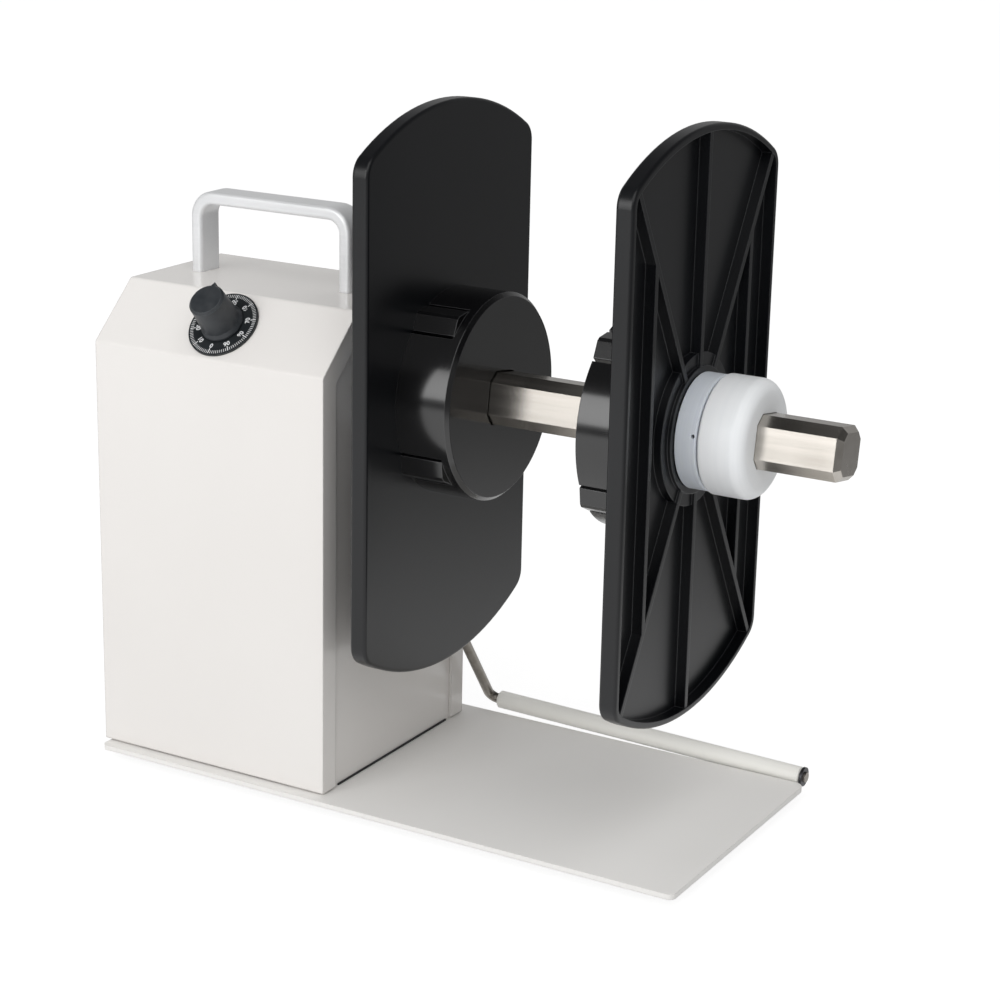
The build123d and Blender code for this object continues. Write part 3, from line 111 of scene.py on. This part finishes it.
# Edges rounded off by light alone, and a mask of the edges, where a lighter colour is painted on as a
# highlight
rounded_edges_and_highlight_mask, given, result = effect(
    "rounded_edges_and_highlight_mask", [("Radius", "Float", 0.0003)], [("Normal", "Vector"), ("Edge", "Float")]
)
rounded = node(rounded_edges_and_highlight_mask, "Bevel", {"samples": 6}, Radius=given["Radius"]).outputs[0]
flat = node(rounded_edges_and_highlight_mask, "NewGeometry").outputs["Normal"]
agreement = node(rounded_edges_and_highlight_mask, "VectorMath", {"operation": "DOT_PRODUCT"})
connect(rounded_edges_and_highlight_mask, rounded, agreement.inputs[0])
connect(rounded_edges_and_highlight_mask, flat, agreement.inputs[1])
turned_away = calc(rounded_edges_and_highlight_mask, "SUBTRACT", 1.0, agreement.outputs["Value"])
edge_mask = node(rounded_edges_and_highlight_mask, "MapRange", Value=turned_away, From_Min=0.01, From_Max=0.12)
connect(rounded_edges_and_highlight_mask, rounded, result["Normal"])
connect(rounded_edges_and_highlight_mask, edge_mask.outputs[0], result["Edge"])


# How much the painted edge highlight covers the edges
painted_highlight_share = 0.6


def finish(
    name, skin, tones, roughness, depth, edge, painted_edge_highlight=None, metallic=0.0, coat=0.0, **skin_values
):
    """A surface from a skin effect: two tones, two roughnesses, the grain's depth and edge radius."""
    material = bpy.data.materials.new(name)
    material.use_nodes = True
    tree = material.node_tree
    shader = tree.nodes["Principled BSDF"]
    skin_node = node(tree, "Group", {"node_tree": skin}, **skin_values)
    edge_node = node(tree, "Group", {"node_tree": rounded_edges_and_highlight_mask}, Radius=edge)
    tone = node(tree, "MapRange", Value=skin_node.outputs["Tone"], From_Min=0.3, From_Max=0.7)
    colour = mixed(tree, tone.outputs[0], (*tones[0], 1.0), (*tones[1], 1.0))
    # Painted highlight: a lighter colour laid along the edges
    if painted_edge_highlight:
        painted_highlight_mask = calc(tree, "MULTIPLY", edge_node.outputs["Edge"], painted_highlight_share)
        colour = mixed(tree, painted_highlight_mask, colour, (*painted_edge_highlight, 1.0))
    shine = node(
        tree,
        "MapRange",
        Value=skin_node.outputs["Tone"],
        From_Min=0.3,
        From_Max=0.7,
        To_Min=roughness[0],
        To_Max=roughness[1],
    )
    bump = node(
        tree,
        "Bump",
        Strength=1.0,
        Distance=depth,
        Height=skin_node.outputs["Height"],
        Normal=edge_node.outputs["Normal"],
    )
    connect(tree, colour, shader.inputs["Base Color"])
    connect(tree, shine.outputs[0], shader.inputs["Roughness"])
    connect(tree, bump.outputs[0], shader.inputs["Normal"])
    shader.inputs["Metallic"].default_value = metallic
    shader.inputs["Coat Weight"].default_value = coat
    return material


def dress(material, *names):
    """Gives CAD nodes a finish."""
    for name in names:
        slots = frame["nodes"][name].data.materials
        slots.clear()
        slots.append(material)


plate_paint = finish(
    "plate_paint",
    uneven_skin,
    tones=((0.835, 0.820, 0.795), (0.875, 0.862, 0.840)),
    roughness=(0.42, 0.52),
    depth=0.012 * mm,
    edge=0.5 * mm,
    Patch=9.0,
    Grain=1400.0,
)
rubber = finish(
    "rubber",
    uneven_skin,
    tones=((0.020, 0.020, 0.021), (0.045, 0.045, 0.046)),
    roughness=(0.70, 0.85),
    depth=0.03 * mm,
    edge=0.4 * mm,
    Patch=120.0,
    Grain=2500.0,
)
zinc_steel = finish(
    "zinc_steel",
    uneven_skin,
    tones=((0.55, 0.56, 0.58), (0.70, 0.71, 0.72)),
    roughness=(0.24, 0.40),
    depth=0.01 * mm,
    edge=0.15 * mm,
    metallic=1.0,
    Patch=260.0,
    Grain=2200.0,
)
dress(plate_paint, "base_plate")
dress(rubber, "rubber_feet")
dress(zinc_steel, "base_screws")

# ---------------------------------------------------------------------------------------------
# Housing
# ---------------------------------------------------------------------------------------------
# A cover folded from 1.2 mm sheet steel round the front, slope, top and rear, with its edges
# turned over two end panels. All three are sprayed with a smooth semi-gloss enamel, warm white.

housing_paint = finish(
    "housing_paint",
    uneven_skin,
    tones=((0.800, 0.775, 0.750), (0.835, 0.812, 0.788)),
    roughness=(0.15, 0.21),
    depth=0.006 * mm,
    edge=0.9 * mm,
    Patch=7.0,
    Grain=500.0,
)
dress(housing_paint, "housing_cover", "left_panel", "bearing_panel")
dress(zinc_steel, "cover_screws")


def piece(name, mesh, material, body):
    """A finished object from a bmesh, on its body."""
    data = bpy.data.meshes.new(name)
    mesh.to_mesh(data)
    mesh.free()
    made = bpy.data.objects.new(name, data)
    bpy.context.scene.collection.objects.link(made)
    data.materials.append(material)
    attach(made, body)
    return made


# Painted shade: a dark strip of the feet's rubber along the foot of the right panel stands in for the
# shadow line there
shade_strip_width = 0.7 * mm
shade_strip_inset = 9.7 * mm
panel_points = [vertex.co for vertex in frame["nodes"]["bearing_panel"].data.vertices]
panel_face = max(point.x for point in panel_points)
panel_foot = min(point.z for point in panel_points)
shade_strip_front = min(point.y for point in panel_points) + shade_strip_inset
shade_strip_rear = max(point.y for point in panel_points) - shade_strip_inset
shade_strip = bmesh.new()
bmesh.ops.create_cube(shade_strip, size=1.0)
bmesh.ops.scale(shade_strip, vec=(shade_strip_width, shade_strip_rear - shade_strip_front, shade_strip_width), verts=shade_strip.verts)
shade_strip_middle = (
    panel_face + shade_strip_width / 2,
    (shade_strip_front + shade_strip_rear) / 2,
    panel_foot + shade_strip_width / 2,
)
bmesh.ops.translate(shade_strip, vec=shade_strip_middle, verts=shade_strip.verts)
bmesh.ops.bevel(
    shade_strip,
    geom=shade_strip.edges[:],
    offset=shade_strip_width / 4,
    segments=2,
    profile=0.5,
    affect="EDGES",
    material=-1,
)
piece("panel_shade_strip", shade_strip, rubber, "chassis")

# ---------------------------------------------------------------------------------------------
# Carrying handle
# ---------------------------------------------------------------------------------------------
# A bow of flat aluminium bar, bent cold at two corners, polished round its edges and anodised.
# Two screws from inside the cover hold its feet.

# Fine lines along the length of drawn or brushed metal
drawn_lines, given, result = effect(
    "drawn_lines",
    [("Along", "Float", 12.0), ("Across", "Float", 1800.0)],
    [("Tone", "Float"), ("Height", "Float")],
)
place = node(drawn_lines, "TexCoord").outputs["Object"]
stretch = node(drawn_lines, "CombineXYZ", X=given["Along"], Y=given["Across"], Z=given["Across"])
lined = node(drawn_lines, "VectorMath", {"operation": "MULTIPLY"})
connect(drawn_lines, place, lined.inputs[0])
connect(drawn_lines, stretch.outputs[0], lined.inputs[1])
lines = node(drawn_lines, "TexNoise", Vector=lined.outputs[0], Scale=1.0, Detail=3.0)
stains = node(drawn_lines, "TexNoise", Vector=place, Scale=40.0, Detail=2.0)
both = calc(drawn_lines, "ADD", lines.outputs[0], stains.outputs[0])
connect(drawn_lines, calc(drawn_lines, "MULTIPLY", both, 0.5), result["Tone"])
connect(drawn_lines, lines.outputs[0], result["Height"])

handle_aluminium = finish(
    "handle_aluminium",
    drawn_lines,
    tones=((0.80, 0.81, 0.82), (0.87, 0.875, 0.885)),
    roughness=(0.34, 0.44),
    depth=0.004 * mm,
    edge=0.9 * mm,
    metallic=0.40,
    Along=25.0,
    Across=1500.0,
)
dress(handle_aluminium, "carry_handle")
dress(zinc_steel, "handle_screws")

# ---------------------------------------------------------------------------------------------
# Speed dial and knob
# ---------------------------------------------------------------------------------------------
# A black anodised disc, printed in white with a hundred divisions and the numbers of every tenth
# one, sits on the slope. The knob is moulded in dark grey, with a flared foot and a pointer.

joints = {joint["name"]: joint for joint in frame["joints"]}
dial_middle = Vector(joints["knob_turn"]["pos_m"])
dial_out = Vector(joints["knob_turn"]["axis"])
dial_right = Vector((1, 0, 0))
dial_up = dial_out.cross(dial_right)
dial_turn = Matrix((dial_right, dial_up, dial_out)).transposed().to_4x4()
dial_place = Matrix.Translation(dial_middle) @ dial_turn

dial_black = finish(
    "dial_black",
    uneven_skin,
    tones=((0.010, 0.013, 0.015), (0.018, 0.022, 0.025)),
    roughness=(0.36, 0.46),
    depth=0.004 * mm,
    edge=0.2 * mm,
    Patch=200.0,
    Grain=3000.0,
)
scale_ink = finish(
    "scale_ink",
    uneven_skin,
    tones=((0.74, 0.76, 0.77), (0.88, 0.88, 0.88)),
    roughness=(0.45, 0.55),
    depth=0.004 * mm,
    edge=0.02 * mm,
    Patch=900.0,
    Grain=4000.0,
)
knob_plastic = finish(
    "knob_plastic",
    uneven_skin,
    tones=((0.024, 0.028, 0.033), (0.038, 0.042, 0.047)),
    roughness=(0.36, 0.46),
    depth=0.012 * mm,
    edge=0.35 * mm,
    # Painted highlight: a lighter blue-grey along the knob's edges
    painted_edge_highlight=(0.13, 0.15, 0.16),
    Patch=300.0,
    Grain=2600.0,
)
dress(dial_black, "dial_plate")
dress(zinc_steel, "potentiometer", "potentiometer_nut", "knob_shaft")

division_count = 100
division_rim = 13.1 * mm
division_length = 1.3 * mm
tenth_length = 2.1 * mm
division_width = 0.2 * mm
tenth_width = 0.34 * mm
print_height = 0.04 * mm
dial_face = 1.0 * mm
divisions = bmesh.new()
for number in range(division_count):
    tenth = number % 10 == 0
    length = tenth_length if tenth else division_length
    width = tenth_width if tenth else division_width
    mark = bmesh.ops.create_cube(divisions, size=1.0)["verts"]
    bmesh.ops.scale(divisions, vec=(length, width, print_height), verts=mark)
    bmesh.ops.translate(divisions, vec=(division_rim - length / 2, 0, dial_face), verts=mark)
    turn = Matrix.Rotation(-2 * math.pi * number / division_count - math.pi / 2, 3, "Z")
    bmesh.ops.rotate(divisions, matrix=turn, verts=mark)
bmesh.ops.transform(divisions, matrix=dial_place, verts=divisions.verts)
piece("dial_divisions", divisions, scale_ink, "chassis")

number_height = 2.5 * mm
number_weight = 0.06 * mm
number_circle = 9.9 * mm
numbers = bmesh.new()
for tenth in range(0, division_count, 10):
    text = bpy.data.curves.new("number", "FONT")
    text.body = str(tenth)
    text.size = number_height
    text.align_x = "CENTER"
    text.align_y = "CENTER"
    text.extrude = print_height / 2
    text.offset = number_weight
    carrier = bpy.data.objects.new("number", text)
    figure = bpy.data.meshes.new_from_object(carrier)
    turn = -2 * math.pi * tenth / division_count
    stand = Matrix.Translation((0, -number_circle, dial_face))
    figure.transform(dial_place @ Matrix.Rotation(turn, 4, "Z") @ stand)
    numbers.from_mesh(figure)
    bpy.data.objects.remove(carrier)
    bpy.data.curves.remove(text)
    bpy.data.meshes.remove(figure)
piece("dial_numbers", numbers, scale_ink, "chassis")
dress(knob_plastic, "speed_knob")

# ---------------------------------------------------------------------------------------------
# Bearings and spindle
# ---------------------------------------------------------------------------------------------
# Two ground ball bearings sit in a turned aluminium housing behind the right panel. The spindle is
# a bright drawn square bar with chamfered corners, turned down to run in them.

# Fine rings round the spindle's axis, as a lathe leaves them
turning_marks, given, result = effect(
    "turning_marks",
    [("Centre", "Vector", (0.0, 0.0, 0.0)), ("Pitch", "Float", 2500.0)],
    [("Tone", "Float"), ("Height", "Float")],
)
place = node(turning_marks, "TexCoord").outputs["Object"]
offset = node(turning_marks, "VectorMath", {"operation": "SUBTRACT"})
connect(turning_marks, place, offset.inputs[0])
connect(turning_marks, given["Centre"], offset.inputs[1])
parts = node(turning_marks, "SeparateXYZ", Vector=offset.outputs[0]).outputs
squares = calc(
    turning_marks,
    "ADD",
    calc(turning_marks, "MULTIPLY", parts["Y"], parts["Y"]),
    calc(turning_marks, "MULTIPLY", parts["Z"], parts["Z"]),
)
station = node(
    turning_marks, "CombineXYZ", X=parts["X"], Y=calc(turning_marks, "SQRT", squares), Z=0.0
)
rings = node(
    turning_marks, "TexNoise", Vector=station.outputs[0], Scale=given["Pitch"], Detail=2.0
)
shades = node(turning_marks, "TexNoise", Vector=place, Scale=60.0, Detail=2.0)
both = calc(turning_marks, "ADD", rings.outputs[0], shades.outputs[0])
connect(turning_marks, calc(turning_marks, "MULTIPLY", both, 0.5), result["Tone"])
connect(turning_marks, rings.outputs[0], result["Height"])

axis_point = Vector(joints["spindle_spin"]["pos_m"])

turned_aluminium = finish(
    "turned_aluminium",
    turning_marks,
    tones=((0.58, 0.59, 0.60), (0.74, 0.75, 0.76)),
    roughness=(0.28, 0.40),
    depth=0.006 * mm,
    edge=0.2 * mm,
    metallic=1.0,
    Centre=axis_point,
    Pitch=3000.0,
)
bearing_steel = finish(
    "bearing_steel",
    turning_marks,
    tones=((0.66, 0.66, 0.68), (0.78, 0.78, 0.80)),
    roughness=(0.10, 0.18),
    depth=0.001 * mm,
    edge=0.15 * mm,
    metallic=1.0,
    Centre=axis_point,
    Pitch=4000.0,
)
spindle_steel = finish(
    "spindle_steel",
    drawn_lines,
    tones=((0.50, 0.465, 0.42), (0.66, 0.625, 0.58)),
    roughness=(0.20, 0.28),
    depth=0.002 * mm,
    edge=0.3 * mm,
    metallic=1.0,
    Along=10.0,
    Across=420.0,
)
dress(turned_aluminium, "bearing_housing")
dress(zinc_steel, "bearing_screws")
dress(bearing_steel, "bearing_outer_rings", "bearing_inner_rings", "bearing_balls")
dress(spindle_steel, "spindle")

# ---------------------------------------------------------------------------------------------
# Flanges and core hubs
# ---------------------------------------------------------------------------------------------
# Both flanges are one moulding in semi-matte black plastic, smooth towards the roll and ribbed
# behind. The hubs are moulded glossy, with four springy fingers that grip the roll's core.

flange_plastic = finish(
    "flange_plastic",
    uneven_skin,
    tones=((0.0030, 0.0034, 0.0045), (0.006, 0.0067, 0.0085)),
    roughness=(0.28, 0.34),
    depth=0.008 * mm,
    edge=0.45 * mm,
    # Painted highlight: thin lighter lines along the rims and ribs
    painted_edge_highlight=(0.060, 0.063, 0.068),
    Patch=14.0,
    Grain=1800.0,
)
hub_plastic = finish(
    "hub_plastic",
    uneven_skin,
    tones=((0.003, 0.003, 0.0035), (0.006, 0.006, 0.0065)),
    roughness=(0.12, 0.18),
    depth=0.002 * mm,
    edge=0.35 * mm,
    # Painted highlight: a lighter line round the rims and the fingers' edges
    painted_edge_highlight=(0.12, 0.12, 0.125),
    Patch=40.0,
    Grain=900.0,
)
dark_steel = finish(
    "dark_steel",
    uneven_skin,
    tones=((0.05, 0.05, 0.055), (0.11, 0.11, 0.12)),
    roughness=(0.34, 0.48),
    depth=0.006 * mm,
    edge=0.15 * mm,
    metallic=0.9,
    Patch=200.0,
    Grain=2500.0,
)
# Glossier than plastic is, to carry the bright band of the lamp ahead
hub_gloss = 1.75
hub_plastic.node_tree.nodes["Principled BSDF"].inputs["IOR"].default_value = hub_gloss
dress(flange_plastic, "inner_flange", "outer_flange")
dress(hub_plastic, "inner_hub", "outer_hub")
dress(dark_steel, "inner_hub_screws", "outer_hub_screws", "inner_bush_set_screw", "bush_set_screw")
dress(dark_steel, "collar_set_screw", "coupling_screws", "knob_set_screw")

# ---------------------------------------------------------------------------------------------
# Bushes and locking collar
# ---------------------------------------------------------------------------------------------
# Turned from white nylon: a bush in each flange, and the collar that keeps the outer flange
# against the roll. Each is held on the bar by a set screw.

white_nylon = finish(
    "white_nylon",
    turning_marks,
    tones=((0.88, 0.90, 0.92), (0.93, 0.945, 0.96)),
    roughness=(0.34, 0.46),
    depth=0.006 * mm,
    edge=0.3 * mm,
    Centre=axis_point,
    Pitch=1500.0,
)
shader = white_nylon.node_tree.nodes["Principled BSDF"]
shader.inputs["Subsurface Weight"].default_value = 0.25
shader.inputs["Subsurface Radius"].default_value = (0.003, 0.003, 0.003)
bush_nylon = finish(
    "bush_nylon",
    turning_marks,
    tones=((0.68, 0.72, 0.78), (0.76, 0.80, 0.85)),
    roughness=(0.30, 0.40),
    depth=0.006 * mm,
    edge=0.3 * mm,
    Centre=axis_point,
    Pitch=1500.0,
)
shader = bush_nylon.node_tree.nodes["Principled BSDF"]
shader.inputs["Subsurface Weight"].default_value = 0.35
shader.inputs["Subsurface Radius"].default_value = (0.003, 0.003, 0.0035)
dress(white_nylon, "locking_collar")
dress(bush_nylon, "inner_bush", "flange_bush")

# ---------------------------------------------------------------------------------------------
# Drive
# ---------------------------------------------------------------------------------------------
# A geared motor hangs behind the bearings on a plate and four hexagonal spacers, and turns the
# spindle through a clamped coupling. All of it is out of sight inside the housing.

gearbox_zinc = finish(
    "gearbox_zinc",
    uneven_skin,
    tones=((0.40, 0.41, 0.43), (0.52, 0.53, 0.55)),
    roughness=(0.38, 0.55),
    depth=0.03 * mm,
    edge=0.3 * mm,
    metallic=0.9,
    Patch=90.0,
    Grain=1200.0,
)
motor_steel = finish(
    "motor_steel",
    drawn_lines,
    tones=((0.40, 0.41, 0.43), (0.56, 0.57, 0.59)),
    roughness=(0.26, 0.38),
    depth=0.005 * mm,
    edge=0.3 * mm,
    metallic=1.0,
    Along=20.0,
    Across=900.0,
)
dress(turned_aluminium, "shaft_coupling", "arm_collar")
dress(zinc_steel, "motor_spacers", "spacer_screws", "motor_plate", "motor_screws")
dress(gearbox_zinc, "gearbox")
dress(motor_steel, "motor")
dress(bearing_steel, "motor_shaft")

# ---------------------------------------------------------------------------------------------
# Tension arm and guide roller
# ---------------------------------------------------------------------------------------------
# The arm is one bright steel rod bent twice, swinging in a nylon bush. A nylon tube turns on its
# long leg, kept there by a pressed-on washer, and the arm's other end turns a sensor.

arm_steel = finish(
    "arm_steel",
    uneven_skin,
    tones=((0.27, 0.25, 0.225), (0.40, 0.375, 0.345)),
    roughness=(0.34, 0.48),
    depth=0.006 * mm,
    edge=0.2 * mm,
    metallic=1.0,
    Patch=160.0,
    Grain=1600.0,
)
roller_nylon = finish(
    "roller_nylon",
    drawn_lines,
    tones=((0.90, 0.89, 0.84), (0.94, 0.93, 0.89)),
    roughness=(0.38, 0.50),
    depth=0.006 * mm,
    edge=0.3 * mm,
    Along=8.0,
    Across=700.0,
)
dress(arm_steel, "tension_arm")
dress(roller_nylon, "guide_roller", "arm_bush", "board_spacers")
dress(dark_steel, "roller_washer")
dress(zinc_steel, "arm_stop_pin", "sensor_bracket")

# ---------------------------------------------------------------------------------------------
# Rear fittings and control board
# ---------------------------------------------------------------------------------------------
# A rocker switch turns the motor either way and a round inlet takes the low-voltage plug, both
# snapped or screwed into the rear. The board on the base plate controls the speed.

fitting_black = finish(
    "fitting_black",
    uneven_skin,
    tones=((0.016, 0.016, 0.017), (0.030, 0.030, 0.031)),
    roughness=(0.38, 0.50),
    depth=0.010 * mm,
    edge=0.3 * mm,
    Patch=150.0,
    Grain=2400.0,
)
board_green = finish(
    "board_green",
    uneven_skin,
    tones=((0.010, 0.090, 0.040), (0.016, 0.130, 0.060)),
    roughness=(0.28, 0.36),
    depth=0.006 * mm,
    edge=0.1 * mm,
    coat=0.3,
    Patch=60.0,
    Grain=900.0,
)
dress(fitting_black, "arm_sensor", "switch_body", "switch_rocker", "dc_inlet", "board_components")
dress(zinc_steel, "inlet_nut")
dress(board_green, "control_board")

# ---------------------------------------------------------------------------------------------
# Floor, light and camera
# ---------------------------------------------------------------------------------------------
# A white floor that keeps the part's soft shadow, a soft lamp ahead and a little to the left, a
# wide one high to the right, and a white sky. The camera sees both white, but reflections see them
# much dimmer away from the part, so bare metal and black plastic look darker than in a white room.

view_middle = Vector((0.0, 0.0, 0.14))


def seen_ray(tree):
    """1 for a ray from the camera, a reflection or clear glass, and 0 for light that spreads."""
    path = node(tree, "LightPath").outputs
    direct = calc(tree, "MAXIMUM", path["Is Camera Ray"], path["Is Glossy Ray"])
    return calc(tree, "MAXIMUM", direct, path["Is Transmission Ray"])


floor_size = 14.0
floor_bounce = (0.80, 0.80, 0.80, 1.0)
floor_shaded = (0.24, 0.24, 0.24, 1.0)
floor_glow = 0.86

# What reflections see of the floor: a bright pool ahead of the part, falling off to dark
pool_middle = (-0.25, -0.45, 0.0)
pool_inner, pool_outer = 0.45, 1.12
pool_bright, pool_dark = 0.80, 0.05

floor_mesh = bmesh.new()
bmesh.ops.create_grid(floor_mesh, x_segments=1, y_segments=1, size=floor_size / 2)
floor_data = bpy.data.meshes.new("floor")
floor_mesh.to_mesh(floor_data)
floor_mesh.free()
floor = bpy.data.objects.new("floor", floor_data)
bpy.context.scene.collection.objects.link(floor)
floor_white = bpy.data.materials.new("floor_white")
floor_white.use_nodes = True
tree = floor_white.node_tree
tree.nodes.remove(tree.nodes["Principled BSDF"])
bounce = node(tree, "BsdfDiffuse", Color=floor_bounce)
shaded = node(tree, "BsdfDiffuse", Color=floor_shaded)
spot = node(tree, "TexCoord").outputs["Object"]
from_pool = node(tree, "VectorMath", {"operation": "DISTANCE"})
connect(tree, spot, from_pool.inputs[0])
connect(tree, pool_middle, from_pool.inputs[1])
pool = node(
    tree,
    "MapRange",
    {"interpolation_type": "SMOOTHSTEP"},
    Value=from_pool.outputs["Value"],
    From_Min=pool_inner,
    From_Max=pool_outer,
    To_Min=pool_bright,
    To_Max=pool_dark,
)
reflected = node(tree, "LightPath").outputs["Is Glossy Ray"]
level = node(tree, "Mix", {"data_type": "FLOAT"})
connect(tree, reflected, level.inputs[0])
connect(tree, floor_glow, level.inputs[2])
connect(tree, pool.outputs[0], level.inputs[3])
glow = node(tree, "Emission", Color=(1.0, 1.0, 1.0, 1.0), Strength=level.outputs[0])
shown = node(tree, "AddShader")
connect(tree, shaded.outputs[0], shown.inputs[0])
connect(tree, glow.outputs[0], shown.inputs[1])
choice = node(tree, "MixShader")
connect(tree, seen_ray(tree), choice.inputs[0])
connect(tree, bounce.outputs[0], choice.inputs[1])
connect(tree, shown.outputs[0], choice.inputs[2])
connect(tree, choice.outputs[0], tree.nodes["Material Output"].inputs["Surface"])
floor_data.materials.append(floor_white)

# Light that spreads comes weaker from the right
sky_fill, right_fill = 0.66, 0.42
# What reflections see of the sky: dimmer overhead, and to the right
horizon_level, zenith_level = 0.45, 0.08
right_level = 0.45
world = bpy.data.worlds.new("studio")
world.use_nodes = True
bpy.context.scene.world = world
tree = world.node_tree
direction = node(tree, "TexCoord").outputs["Generated"]
height = node(tree, "SeparateXYZ", Vector=direction).outputs["Z"]
overhead = node(
    tree,
    "MapRange",
    {"interpolation_type": "SMOOTHSTEP"},
    Value=height,
    From_Min=0.25,
    From_Max=0.70,
    To_Min=horizon_level,
    To_Max=zenith_level,
)
reflected = node(tree, "LightPath").outputs["Is Glossy Ray"]
shown_sky = node(tree, "MapRange", Value=reflected, To_Min=1.0)
sideways = node(tree, "SeparateXYZ", Vector=direction).outputs["X"]
dimmed = node(
    tree, "MapRange", Value=sideways, From_Min=-0.2, From_Max=0.5, To_Min=1.0, To_Max=right_level
)
connect(
    tree, calc(tree, "MULTIPLY", overhead.outputs[0], dimmed.outputs[0]), shown_sky.inputs["To Max"]
)
spread = node(
    tree,
    "MapRange",
    Value=sideways,
    From_Min=0.2,
    From_Max=0.9,
    To_Min=sky_fill,
    To_Max=right_fill,
)
sky = node(tree, "MapRange", Value=seen_ray(tree))
connect(tree, spread.outputs[0], sky.inputs["To Min"])
connect(tree, shown_sky.outputs[0], sky.inputs["To Max"])
background = tree.nodes["Background"]
background.inputs["Color"].default_value = (1.0, 1.0, 1.0, 1.0)
connect(tree, sky.outputs[0], background.inputs["Strength"])


lamp_distance = 1.6


def soft_lamp(name, direction, size, watts):
    """A rectangular soft lamp facing the part."""
    data = bpy.data.lights.new(name, "AREA")
    data.shape = "RECTANGLE"
    data.size, data.size_y = size
    data.energy = watts
    lamp = bpy.data.objects.new(name, data)
    aim = Vector(direction).normalized()
    lamp.location = view_middle + lamp_distance * aim
    lamp.rotation_euler = aim.to_track_quat("Z", "Y").to_euler()
    bpy.context.scene.collection.objects.link(lamp)


soft_lamp("key_lamp", (-0.247, -0.922, 0.297), (1.04, 0.82), 7.2)
soft_lamp("fill_lamp", (0.36, -0.56, 0.75), (1.4, 1.4), 7.4)

# The camera stands where the photographer stood
camera_data = bpy.data.cameras.new("camera")
camera_data.lens = 88.35
camera_data.sensor_width = 36.0
camera_data.sensor_fit = "HORIZONTAL"
camera = bpy.data.objects.new("camera", camera_data)
bpy.context.scene.collection.objects.link(camera)
camera_spot = Vector((0.43061, -0.748215, 0.37339))
camera_back = Vector((0.4753, -0.8310, 0.2890)).normalized()
camera_roll = math.radians(1.26)
level_right = Vector((0, 0, 1)).cross(camera_back).normalized()
level_up = camera_back.cross(level_right)
right = math.cos(camera_roll) * level_right + math.sin(camera_roll) * level_up
up = -math.sin(camera_roll) * level_right + math.cos(camera_roll) * level_up
camera.matrix_world = (
    Matrix.Translation(camera_spot) @ Matrix((right, up, camera_back)).transposed().to_4x4()
)
bpy.context.scene.camera = camera
bpy.context.scene.view_settings.view_transform = "Standard"
